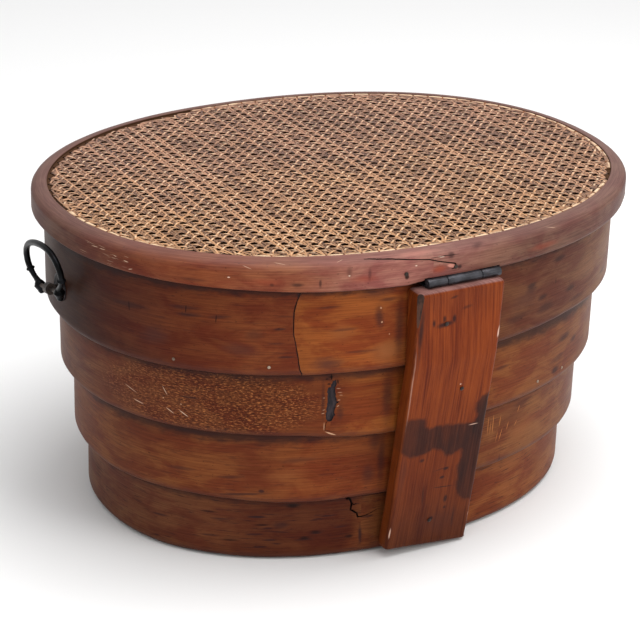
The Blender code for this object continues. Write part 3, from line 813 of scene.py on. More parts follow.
foot_steps = [
    (-82, 69, 1.6), (-80, 65.5, 1.4), (-76.8, 59, 1.2), (-77.8, 51.5, 1.1), (-71.2, 46.8, 1),
    (-70, 41.8, 1.1),
]
side_cut(bands["foot"], foot_half, foot_steps, 0.0017, 0.004, 0.0004, 4.0)
foot_branch = [(-77.5, 59.2, 1), (-74.5, 57, 1), (-71.8, 57.8, 0.6)]
side_cut(bands["foot"], foot_half, foot_branch, 0.0012, 0.003, 0.0003, 4.5)
foot_hole = [(-85.5, 69.8), (-79.5, 68.3), (-81.5, 62.3)]
side_pocket(bands["foot"], foot_half, foot_hole, 0.004, 0.0003, 5.0, raw_dark)
foot_tail = [(-70.5, 42.2, 1.2), (-64, 42.4, 1), (-58, 44, 0.8), (-50, 47.6, 0.4)]
side_cut(bands["foot"], foot_half, foot_tail, 0.0012, 0.002, 0.0003, 6.0)
print("cuts done")

# %% [markdown]
# ## Colours of the bands
# The top band is dark red-brown on the left and lighter near the closing piece, the closing piece
# is the most orange, the upper band has a crackled varnish on the left, and the foot is the
# darkest. The zone colours also hold painted light: the top band's left end is painted darker as
# painted shade, the right ends lighter and greyer as a painted reflection, and the foot's darkness
# is partly painted shade. The rows below give the colour at places along the hinge side, and the
# stains, dark patches and scratches on it.

# %% Paint the bands
purple_dark, black_brown, purple_brown = paint(46, 28, 28), paint(30, 16, 13), paint(74, 42, 36)
tan, gold_tan, blue_grey = paint(206, 162, 128), paint(140, 84, 46), paint(44, 42, 48)

joint_spots = (224, 233, 243, 253, 263, 273, 283, 293, 303)
top_joint = [(joint_x * 1000, z, 1.1, 9, 0, 0.85, 0.9) for z in joint_spots]
# the zones hold painted light: the top band's left end darker as painted shade, the right ends
# lighter and greyer as a painted reflection
top_zones = [
    (-300, 48, 26, 22), (-270, 82, 42, 31), (-230, 98, 50, 31), (-180, 109, 58, 37),
    (-156, 109, 58, 37), (60, 96, 60, 45), (140, 90, 58, 50), (220, 106, 74, 62),
    (300, 126, 94, 80),
]
top_marks = [
    (purple_dark, [
        (-277, 276.6, 30, 4.5, 2, 0.5, 0.8), (-238, 278.6, 18, 3.5, 4, 0.6, 0.8),
        (-216, 279.6, 14, 3, 6, 0.5, 0.8), (-242, 285.5, 22, 3, 2, 0.5, 0.8),
        (-188, 263.7, 14, 9, 10, 0.35, 0.9), (-165, 269.6, 9, 1.6, 2, 0.75, 0.7),
        (-169, 254.8, 11, 1.4, 1, 0.45, 0.7), (-162, 240.9, 11, 1.6, 1, 0.65, 0.7),
        (-151, 304.4, 8, 4.5, -35, 0.8, 0.6), (97, 271.6, 12, 4, 8, 0.45, 0.8),
        (120, 248.8, 16, 4, 4, 0.45, 0.8), (172, 237.9, 20, 5, 0, 0.45, 0.8),
        (230, 244.8, 16, 5, 0, 0.5, 0.8),
    ]),
    (purple_dark, [
        (97.8, 275.9, 10, 4.5, 8, 0.75, 0.8), (136.9, 294.7, 14, 4.5, 4, 0.7, 0.8),
        (114.8, 259.5, 10, 4.5, 6, 0.65, 0.8), (158.4, 256, 12, 6, 0, 0.65, 0.8),
        (80, 245, 20, 8, 6, 0.5, 0.9), (120, 244, 22, 6, 4, 0.5, 0.9),
    ]),
    (purple_brown, [
        (-262, 251.8, 22, 14, 10, 0.6, 0.9), (-200, 247.8, 26, 10, -6, 0.5, 0.9),
        (90, 263.7, 30, 12, 10, 0.5, 0.9),
    ]),
    (black_brown, [
        (-277, 275.1, 0.8, 6, 3, 0.8, 0.5), (-240.4, 284, 0.7, 5, -4, 0.8, 0.5),
        (-218.5, 277.1, 0.7, 5, -4, 0.8, 0.5), (86, 242.9, 2, 1, 0, 0.7, 0.6),
        (133, 271.6, 1, 4, 0, 0.6, 0.6),
    ]),
    (blue_grey, top_joint),
]
closing_zones = [
    (-160, 124, 69, 38), (-100, 136, 75, 40), (-60, 130, 72, 40), (-40, 104, 54, 32),
    (20, 90, 46, 28),
]
closing_marks = [
    (purple_brown, [(-125, 232.5, 22, 10, 0, 0.75, 0.9), (-80, 301, 26, 7, 0, 0.5, 0.9)]),
    (gold_tan, [(-68, 241, 22, 14, 8, 0.8, 0.9), (-112, 264, 16, 14, 0, 0.4, 0.9)]),
    (purple_dark, [
        (-124, 290.5, 16, 2.2, 3, 0.5, 0.8), (-109, 266.7, 18, 2, 2, 0.45, 0.8),
        (-94, 242.9, 24, 2, 0, 0.5, 0.8), (-69, 293.5, 12, 3, 0, 0.55, 0.8),
        (-76.5, 276, 6.5, 17.5, 6, 0.65, 0.9), (-56, 263.7, 7, 46, 0, 0.55, 0.9),
    ]),
    (tan, [
        (-75.4, 285.6, 1.1, 1.4, 20, 0.8, 0.6), (-73.9, 271, 1.1, 1.2, -20, 0.8, 0.6),
        (-66, 257.7, 0.8, 1.2, 0, 0.5, 0.6),
    ]),
    (blue_grey, top_joint),
]
upper_zones = [
    (-290, 92, 58, 48), (-250, 104, 60, 43), (-190, 98, 54, 35), (-120, 104, 54, 33),
    (-100, 128, 72, 38), (-60, 130, 74, 38), (60, 116, 68, 41), (150, 108, 66, 46),
    (280, 106, 73, 60),
]
upper_marks = [
    (purple_dark, [
        # the long blot at 219.5 mm darkens the band just under the lip above
        (-232, 186.3, 12, 1.8, 0, 0.7, 0.7), (-161, 219.5, 40, 5, 0, 0.6, 0.9),
        (-121.5, 187.3, 3, 30, 0, 0.55, 0.9), (-105, 174.4, 4.5, 14, 0, 0.45, 0.9),
        (-58, 186.3, 9, 36, 0, 0.55, 0.9), (-85, 211.1, 20, 4, 0, 0.45, 0.9),
        (75, 188.3, 12, 4, 6, 0.4, 0.9), (160, 172.4, 20, 5, 4, 0.4, 0.9),
    ]),
    (black_brown, [
        (-114.7, 212.6, 3, 1.6, 0, 0.8, 0.6), (-118.4, 210.7, 2.2, 1.2, 0, 0.7, 0.6),
        (-116.4, 205.3, 2, 1.4, 0, 0.7, 0.6), (-108, 207, 1.2, 3, 10, 0.8, 0.6),
    ]),
    (purple_dark, [
        (189.4, 182.3, 10, 4.5, 0, 0.65, 0.8), (156.9, 160.7, 10, 5, 0, 0.75, 0.8),
        (170, 192, 18, 6, 6, 0.65, 0.8),
    ]),
    (tan, [
        (-120, 160, 0.5, 5, 0, 0.6, 0.5), (-113.5, 152.2, 7, 1, -22, 0.9, 0.5),
        (-107.3, 199.8, 2.6, 0.5, -4, 0.5, 0.6), (-105.8, 195.5, 3, 0.5, -4, 0.45, 0.6),
        (-104.7, 192.5, 2.2, 0.5, -6, 0.4, 0.6), (-106.5, 187.5, 1.8, 0.6, 0, 0.5, 0.6),
        (-107.3, 181.2, 1.6, 0.6, 30, 0.6, 0.5), (-120.4, 178, 2, 0.6, 12, 0.5, 0.6),
        (-121.2, 174.3, 2.2, 0.6, 14, 0.6, 0.6), (-120.7, 190.8, 1.4, 0.6, 0, 0.4, 0.6),
        (-250, 180.5, 1, 1, 0, 0.8, 0.6), (-238, 177, 1, 1, 0, 0.8, 0.6),
    ]),
]
upper_strokes = [
    (-251, 194.3, -247, 183.3, 0.9, 0.85), (-269, 169.5, -262, 166.5, 1.2, 0.8),
    (-249, 170.4, -242, 163.5, 1.2, 0.9), (-240, 170.4, -232, 162.5, 1.1, 0.9),
    (-274, 184.3, -266, 177.4, 1, 0.6),
]
lower_zones = [
    (-270, 104, 62, 42), (-230, 112, 64, 40), (-170, 112, 64, 40), (-120, 116, 62, 36),
    (-60, 108, 56, 32), (60, 108, 65, 42), (150, 113, 73, 52), (260, 108, 75, 62),
]
lower_marks = [
    (purple_dark, [
        # the long blot at 143 mm darkens the band just under the lip above
        (-226, 143.2, 45, 4.5, 0, 0.55, 0.9), (-232, 101, 20, 3, 3, 0.45, 0.8),
        (-194, 99, 18, 2.2, 5, 0.5, 0.8), (-185, 82.2, 34, 1.8, 6, 0.7, 0.7),
        (-169, 86.6, 4, 2.5, 0, 0.8, 0.7), (-135, 118.9, 30, 5, 4, 0.4, 0.9),
        (-62, 130.8, 10, 12, 0, 0.45, 0.9), (-68, 97, 10, 14, 0, 0.45, 0.9),
        (-55, 112.9, 6, 36, 0, 0.55, 0.9), (120, 130.8, 20, 6, 4, 0.4, 0.9),
    ]),
    (paint(196, 122, 62), [
        (70.6, 119.4, 0.6, 12.3, -2, 0.6, 0.6), (74, 117, 0.6, 10, -4, 0.5, 0.6),
        (77.3, 119, 0.6, 12.9, -2, 0.7, 0.6), (86.9, 120.2, 0.6, 7.7, -8, 0.6, 0.6),
        (88.8, 104.8, 8.7, 0.6, 71, 0.7, 0.6), (83.5, 104, 7, 0.5, 75, 0.5, 0.6),
        (98.2, 111.5, 6, 0.6, 73, 0.6, 0.6), (113.3, 125.8, 4.9, 0.6, 68, 0.7, 0.6),
        (110.1, 110.4, 3.6, 0.6, 54, 0.6, 0.6),
    ]),
    (purple_dark, [(89.5, 78.5, 1.8, 6.5, 8, 0.6, 0.8)]),
    (gold_tan, [(-150, 103, 30, 8, 6, 0.35, 0.9), (120, 103, 30, 12, 10, 0.35, 0.9)]),
]
# the foot is painted darkest, partly as painted shade under the bands above
foot_zones = [
    (-260, 96, 62, 50), (-210, 98, 58, 42), (-160, 82, 44, 31), (-80, 80, 40, 26),
    (-66, 106, 62, 38), (-50, 100, 58, 38), (60, 112, 62, 38), (150, 122, 74, 48),
    (250, 116, 78, 58),
]
foot_marks = [
    (purple_dark, [
        (-240, 34.6, 14, 1.6, 3, 0.7, 0.7), (-167, 48.4, 12, 1.8, 2, 0.8, 0.6),
        (-169, 28.6, 12, 1.6, 3, 0.7, 0.7), (-155, 22.6, 10, 1.6, 2, 0.7, 0.7),
        (-135, 62.3, 12, 3, 0, 0.6, 0.8), (-124, 22.6, 12, 1.4, 2, 0.7, 0.7),
        (-112, 28.6, 10, 1.4, 2, 0.7, 0.7), (-145, 39.5, 12, 6, 10, 0.5, 0.8),
        (-196, 43.5, 16, 1.6, 3, 0.6, 0.7), (-205, 23.6, 14, 1.6, 3, 0.6, 0.7),
        (-100, 47.4, 12, 1.4, 2, 0.6, 0.7), (-88, 33.6, 10, 1.4, 2, 0.6, 0.7),
        (-67.5, 21.7, 2.8, 16, 2, 0.8, 0.8),
    ]),
    (black_brown, [
        (-134.5, 61, 9.5, 3.4, 0, 0.85, 0.8), (-123.5, 24.1, 8, 2.6, 0, 0.85, 0.8),
        (-113, 30.1, 8, 2.8, 0, 0.8, 0.8), (-78.8, 21.6, 6, 3, 0, 0.8, 0.8),
        (-162, 39.6, 11, 2, 2, 0.65, 0.8), (-189, 20.5, 14, 1.8, 2, 0.65, 0.8),
        (-205, 50, 12, 1.8, 3, 0.55, 0.8),
    ]),
]
crackled = (far_at(upper_half, -0.287), far_at(upper_half, -0.112), 0.142, 0.224)
looks = (
    ("top band", "top", top_half, *top_span, top_zones, top_marks, (), 0.35),
    ("closing piece", "top", top_half, *top_span, closing_zones, closing_marks, (), 0.35),
    ("upper band", "upper", upper_half, 0.146, 0.219, upper_zones, upper_marks, upper_strokes, 0.3),
    ("lower band", "lower", lower_half, 0.073, 0.146, lower_zones, lower_marks, (), 0.45),
    ("foot band", "foot", foot_half, 0.0, 0.073, foot_zones, foot_marks, (), 0.85),
)
for seed, (title, place, *look, figure) in enumerate(looks, 1):
    word = title.split()[0]
    wood = wood_finish(title + " wood", *look, seed, figure, crackled if word == "upper" else None)
    node = "band_" + place + ("_closing_piece" if word == "closing" else "")
    dress(bands[word], wood, "box", [node])
print("bands painted")

# %% [markdown]
# ## The rim of the lid
# The lid's rim is one stout strip bent round the edge. Its top slopes down in a wide round to an
# upright side. Its two ends overlap in a long sloping scarf on the hinge side: the feather line of
# it comes down over the slope to a pink, broken tip by the hinge. The hinge needs a notch under
# the rim, and the inner half of the top is cut down a little, so that the cane lies flush.

# %% Bend the rim
rim_low, rim_high = 0.3103, 0.3413
seat_in, seat_down, rim_wide = 0.016, 0.0028, 0.027
nose_in, nose_up, foot_round = 0.0155, 0.009, 0.006
rim_rows = (
    (-0.60, 0), (-0.42, 4), (-0.36, 4), (-0.29, 2.5), (-0.21, 1), (-0.17, -0.4), (-0.14, -1.3),
    (-0.10, -1.5), (-0.055, -2), (-0.042, 0), (0.05, 0), (0.10, 0), (0.25, 1), (0.36, 5), (0.50, 3),
    (0.60, 0),
)
bottom_turns = [math.radians(a) for a in np.linspace(0, 90, 6)]
nose_turns = [math.radians(a) for a in np.linspace(0, 90, 14)]
rim_section = [(0.0117, rim_low)] + [
    (foot_round * (1 - math.sin(a)), rim_low + foot_round * (1 - math.cos(a)))
    for a in bottom_turns
]
rim_anchor = len(rim_section) - 1
rim_section += [(0.0, z) for z in np.linspace(rim_low + foot_round, rim_high - nose_up, 5)[1:-1]]
rim_section += [
    (nose_in * (1 - math.cos(a)), rim_high - nose_up * (1 - math.sin(a)))
    for a in nose_turns
]
seat_high = rim_high - seat_down
rim_section += [(seat_in, rim_high - 0.0007), (seat_in, seat_high), (0.0195, seat_high)]
rim_section += [(rim_wide - 0.0008, seat_high), (rim_wide, seat_high - 0.0008), (rim_wide, 0.325)]
rim_section += [(rim_wide, rim_low + 0.0006), (rim_wide - 0.0006, rim_low)]
rim_start = far_at(rim_half, -0.030)
rim_round = walk(rim_half)[0][-1]


def rim_wave(far, height, inset, points):
    """The rim's nose waves gently, and its lower edge is trimmed by hand; the seat stays flat."""
    nose = (inset < 0.0125) * np.clip((height - rim_low) / 0.004, 0, 1)
    waves = 0.00045 * ripple(points, 0.10, 21) + 0.00022 * ripple(points, 0.025, 22)
    out = nose * (waves + 0.00010 * ripple(points, 0.008, 23))
    edge = (inset < foot_round + 0.0001) * np.clip(1 - (height - rim_low) / 0.010, 0, 1)
    return 0 * far, out, edge * trimmed(far, rim_round, rim_rows)


rim_span = (rim_start, rim_start + rim_round)
rim = bend("bent_rim", rim_half, rim_section, 400, rim_span, rim_anchor, 1, rim_wave)
hinge_y, hinge_z, hinge_left, hinge_right = -0.2525, 0.310, -0.0375, 0.0435
notch_left, notch_right = hinge_left - 0.0008, hinge_right + 0.0012
notch_front, notch_back = -0.262, -0.2277
notch = [
    (notch_left, notch_front), (notch_right, notch_front), (notch_right, notch_back),
    (notch_left, notch_back),
]
cut_out(rim, [(x, y, 0.300) for x, y in notch], (0, 0, 0.0149), raw_dark)
for word in ("top", "closing"):
    cut_out(bands[word], [(x, y, 0.320) for x, y in notch], (0, 0, -0.0147), raw_dark)
print("rim", len(rim.data.polygons), "faces")

# %% [markdown]
# The scarf line is a hair-thin groove that is cut from the side in short stretches, each as deep
# as the slope needs there. The holes of the cane work are drilled through the seat; they show
# where the binder has come off.

# %% Cut the scarf line and the holes
scarf_line = [
    (-98, 339.4, 0.5), (-86.6, 338.8, 0.9), (-73.6, 338, 1), (-64, 337, 1), (-54.4, 335.8, 1),
    (-45, 334.8, 1), (-35, 333.7, 1.1), (-20.8, 329.3, 1.2), (-12.9, 327.3, 1.3),
    (-6.1, 325.3, 1.5), (-5.5, 321.3, 1.2), (-10.5, 320.3, 0.8),
]
scarf_depths = ((0, 2, 0.0072), (1, 4, 0.0052), (3, 6, 0.0032), (5, 8, 0.0022), (7, 12, 0.0016))
for first, last, deep in scarf_depths:
    side_cut(rim, rim_half, scarf_line[first:last], 0.0009, deep, 0.00015, 31.0 + first)
nose_crack = [(-32.4, 334.5, 0.5), (-17.5, 334.8, 1), (-2.4, 334.1, 0.5)]
side_cut(rim, rim_half, nose_crack, 0.0006, 0.0012, 0.0001, 40.0)
holes = 100
hole_half = (rim_half[0] - 0.0188, rim_half[1] - 0.0188)
hole_round = walk(hole_half)[0][-1]
hole_places = (np.arange(holes) + 0.5) * hole_round / holes
hole_x, hole_y = oval(hole_half, angle_at(hole_half, hole_places))
print("holes every", round(hole_round / holes * 1000, 1), "mm")

# %% Drill the holes
drill_r, drill_deep, drill_start = 0.0021, 0.02, (hole_x[0], hole_y[0], 0.3450)
bpy.ops.mesh.primitive_circle_add(
    vertices=8, radius=drill_r, location=drill_start, fill_type="NGON", calc_uvs=False
)
drill = bpy.context.object
bpy.ops.object.transform_apply(location=True, rotation=False, scale=False)
edit_all()
bpy.ops.mesh.extrude_region_move(TRANSFORM_OT_translate={"value": (0, 0, -drill_deep)})
bpy.ops.mesh.select_all(action="SELECT")
bpy.ops.mesh.normals_make_consistent(inside=False)
for x, y, before_x, before_y in zip(hole_x[1:], hole_y[1:], hole_x, hole_y):
    bpy.ops.mesh.duplicate_move(TRANSFORM_OT_translate={"value": (x - before_x, y - before_y, 0)})
bpy.ops.object.mode_set(mode="OBJECT")
drill.data.materials.append(raw_dark)
carve(rim, drill)
print("rim after drilling", len(rim.data.polygons), "faces")

# %% [markdown]
# ## Colours of the rim
# Hands have worn the rim's varnish, and its top is painted a purple brown that is partly that wear
# and partly a painted sheen; the nose is red, with bare orange places, many short white scratches
# on the left, a few pale painted glints, and a painted shadow line along the lower edge. The same
# wood recipe serves, on the rim's own map, where the height runs on over the nose to the top.

# %% Paint the rim
rim_zones = [
    (-310, 92, 60, 52), (-280, 114, 60, 42), (-240, 128, 66, 42), (-160, 140, 84, 64),
    (-110, 148, 96, 88), (-60, 152, 100, 95), (-10, 136, 93, 88), (30, 122, 82, 74),
    (80, 103, 72, 64), (150, 102, 71, 65), (300, 102, 76, 70),
]
red_brown, pink_wood, glints_and_pale_streak = paint(148, 66, 44), paint(196, 132, 116), paint(226, 200, 180)
rim_marks = [
    (red_brown, [
        (-23.6, 322.3, 12, 6, 0, 0.7, 0.9), (-100, 322, 20, 5, 0, 0.45, 0.9),
        (-185, 322, 22, 5, 0, 0.45, 0.9), (100, 322, 30, 5, 0, 0.35, 0.9),
    ]),
    (purple_dark, [
        (-180.4, 319.3, 3, 2, 0, 0.55, 0.8), (-159.1, 319.3, 9, 2.6, 0, 0.7, 0.8),
        (-139.1, 320.3, 2.2, 5.2, 0, 0.7, 0.7), (-113, 330, 4, 8, 0, 0.45, 0.9),
        (-94, 326, 2.5, 9, 0, 0.45, 0.8), (-1.6, 321.3, 3.5, 3, 0, 0.85, 0.7),
        (-11, 334.5, 5.5, 5, 0, 0.7, 0.8), (20, 340, 10, 5, 20, 0.45, 0.9),
        (-240, 320, 20, 3, 0, 0.45, 0.9), (150, 320, 25, 3, 0, 0.4, 0.9),
    ]),
    (black_brown, [(-57, 319.5, 3, 3, 0, 0.9, 0.6)]),
    (pink_wood, [(-10.5, 323.8, 6, 2.2, -14, 0.9, 0.5), (-45, 342, 30, 4.5, 0, 0.35, 0.9)]),
    # the first three blots in this pale colour are painted glints, small painted highlights on the
    # rim's side; the last is a pale streak along the crack on the nose
    (glints_and_pale_streak, [
        (-214.5, 325.3, 1.6, 0.7, 0, 0.9, 0.5), (-48.1, 329.3, 1.4, 0.7, 0, 0.9, 0.5),
        (-113.1, 326.3, 1.3, 0.8, 0, 0.9, 0.5), (-22, 334.5, 4.5, 0.8, -8, 0.6, 0.5),
    ]),
]
dice = np.random.default_rng(17)
rim_strokes = []
for n in range(16):
    x, z, long = dice.uniform(-308, -284), dice.uniform(317, 334), dice.uniform(2, 6)
    end = z + long * dice.uniform(-0.25, 0.1)
    rim_strokes.append((x, z, x + long, end, dice.uniform(0.3, 0.5), dice.uniform(0.2, 0.6)))
rim_strokes += [
    (-302.9, 331, -299.1, 331.5, 0.8, 0.8), (-299.1, 331, -295.5, 331.4, 0.8, 0.8),
    (-291.8, 329.1, -289.6, 327.7, 0.8, 0.8), (-286.2, 326.4, -282.8, 325.5, 0.9, 1),
    (-283.4, 317.6, -280.4, 319.9, 1.1, 1), (-205, 338, -196, 334, 0.7, 0.5),
    (-180, 342, -168, 339, 0.7, 0.5), (-125, 340, -118, 344, 0.7, 0.4),
    (105, 341, 118, 336, 0.7, 0.5),
]
# the crown tint is a grey purple: a painted sheen over worn varnish on the rim's top
crown = (0.328, 0.346, (122, 92, 86))
rim_wood = wood_finish(
    "rim wood", rim_half, rim_low, 0.36, rim_zones, rim_marks, rim_strokes, 7, 0.3, None, crown
)
dress(rim, rim_wood, "lid", ["lid_rim"])

# %% [markdown]
# ## The batten
# A straight-grained plank stands against the bands from the floor to the hinge. Its front leans,
# with a knee where the top band begins, its front edges are worn round, its lower end is worn off
# at a slant, and its top end is a bare ledge under the hinge. It is made as a stack of rounded
# rectangles: a ring of corners is extruded upward and every layer is set to the plank's depth at
# that height.

# %% Raise the batten
plank_left, plank_right = -0.050, 0.044
plank_front = ((0.0, -0.2178), (0.228, -0.2568), (0.3052, -0.2628))
plank_back = ((0.0, -0.2029), (0.009, -0.2032), (0.228, -0.2403), (0.3052, -0.2403))


def plank_y(table, z):
    """Depth of the plank's front or back at a height."""
    return float(np.interp(z, [row[0] for row in table], [row[1] for row in table]))


def plank_ring(z, shrink, round_front, round_back):
    """Corners of the plank's rounded section at a height, from its back left corner on."""
    x0, x1 = plank_left + shrink, plank_right - shrink
    y0, y1 = plank_y(plank_front, z) + shrink, plank_y(plank_back, z) - shrink
    corners = (
        (x0 + round_back, y1 - round_back, 90, round_back),
        (x0 + round_front, y0 + round_front, 180, round_front),
        (x1 - round_front, y0 + round_front, 270, round_front),
        (x1 - round_back, y1 - round_back, 0, round_back),
    )
    runs = (6, 40, 6, 14)
    ring = []
    for number, (cx, cy, first, r) in enumerate(corners):
        arc = [
            (cx + r * math.cos(math.radians(first + a)), cy + r * math.sin(math.radians(first + a)))
            for a in (0, 18, 36, 54, 72, 90)
        ]
        cx, cy, first, r = corners[(number + 1) % 4]
        ahead = (cx + r * math.cos(math.radians(first)), cy + r * math.sin(math.radians(first)))
        ring += arc
        ring += [
            tuple(arc[-1][i] + (ahead[i] - arc[-1][i]) * n / runs[number] for i in (0, 1))
            for n in range(1, runs[number])
        ]
    return [(x, y, z) for x, y in ring]


plank_top = 0.3052
top_round = ((0.0030, 0.0003), (0.0015, 0.0010), (0.0005, 0.0022), (0.0, 0.0040))
levels = [(0.0, 0.0012), (0.0006, 0.0004), (0.0015, 0.0)]
levels += [(z, 0.0) for z in np.linspace(0.005, plank_top - 0.0045, 90)]
levels += [(plank_top - down, shrink) for down, shrink in top_round]
plank_rows = [plank_ring(z, shrink, 0.0026, 0.0012) for z, shrink in levels]
bpy.ops.mesh.primitive_circle_add(
    vertices=len(plank_rows[0]), radius=0.05, fill_type="NGON", calc_uvs=False
)
plank = bpy.context.object
plank.name = "hinge_plank"
bpy.context.tool_settings.mesh_select_mode = (False, False, True)
edit_all()
for (z, _), (ahead, _) in zip(levels, levels[1:]):
    bpy.ops.mesh.extrude_region_move(TRANSFORM_OT_translate={"value": (0, 0, ahead - z)})
turn_out()
plank_points = np.array(plank_rows).reshape(-1, 3)
worn = plank_points.copy()
front_share = np.clip(
    (plank_points[:, 1] - [plank_y(plank_back, z) for z in plank_points[:, 2]]) / -0.015, 0, 1
)
edge_share = np.clip(
    1 - np.minimum(plank_points[:, 0] - plank_left, plank_right - plank_points[:, 0]) / 0.006, 0, 1
)
worn[:, 1] += front_share * (
    0.00035 * ripple(plank_points, 0.05, 41) + 0.00012 * ripple(plank_points, 0.012, 42)
)
worn[:, 1] += front_share * edge_share * 0.0008 * np.clip(ripple(plank_points, 0.02, 43), 0, 1)
toward = np.sign(-0.003 - plank_points[:, 0])
slanted = np.interp(plank_points[:, 0], (plank_left, plank_right), (0.0100, 0.0020))
worn[:, 2] += np.clip(1 - plank_points[:, 2] / 0.06, 0, 1) * slanted
nibbled = 0.0009 * np.clip(ripple(plank_points, 0.012, 45) - 0.2, 0, 1)
worn[:, 0] += toward * edge_share * (0.0004 * ripple(plank_points, 0.04, 44) + nibbled)
plank.data.vertices.foreach_set("co", worn.ravel())
plank.data.update()
print("plank", len(plank.data.polygons), "faces")

# %% [markdown]
# The plank's left corner under the hinge is split off along the grain: a slanting wedge cuts it.
# The big dark stain has a long winding outline: each corner of the mesh keeps its distance from
# that outline, and the finish frays and softens it.

# %% Chip the batten and draw the outline of its stain
cut_out(
    plank, [(-0.0437, -0.2651, 0.243), (-0.0522, -0.2566, 0.243), (-0.0580, -0.2700, 0.243)],
    (0.0007, 0.0006, 0.07), raw_brown,
)
stain_edge = [
    (-48, 167), (-41, 167), (-33, 166), (-28, 163), (-26, 157), (-22, 151), (-15, 153), (-3, 152),
    (13, 150), (25, 148), (31, 148), (35, 155), (29, 164), (29, 171), (34, 176), (43, 180),
    (47, 180), (50, 158), (45, 141), (44, 117), (45, 86), (46, 53), (36, 52), (26, 62), (22, 73),
    (22, 85), (19, 97), (22, 104), (22, 114), (20, 120), (15, 115), (9, 113), (2, 116), (-6, 123),
    (-13, 126), (-22, 122), (-32, 121), (-44, 124), (-52, 132), (-52, 146), (-50, 158),
]


def reach_inside(outline, x, z):
    """How far each point lies inside a closed outline, negative outside it."""
    a = np.array(outline, float)
    run = np.roll(a, -1, axis=0) - a
    off = np.column_stack((x, z))[:, None, :] - a
    share = np.clip((off * run).sum(2) / (run**2).sum(1), 0, 1)
    gap = np.linalg.norm(off - share[..., None] * run, axis=2).min(1)
    rise = np.where(run[:, 1] == 0, 1e-9, run[:, 1])
    level = off[..., 1] / rise
    crossed = (level >= 0) & (level < 1) & (off[..., 0] < level * run[:, 0])
    return np.where(crossed.sum(1) % 2 == 1, gap, -gap)


plank_now = np.zeros(len(plank.data.vertices) * 3, np.float32)
plank.data.vertices.foreach_get("co", plank_now)
plank_now = plank_now.reshape(-1, 3)
stained = plank.data.attributes.new("stain", "FLOAT", "POINT")
stained.data.foreach_set(
    "value",
    reach_inside(stain_edge, plank_now[:, 0] * 1000, plank_now[:, 2] * 1000).astype(np.float32),
)
print("stain drawn")


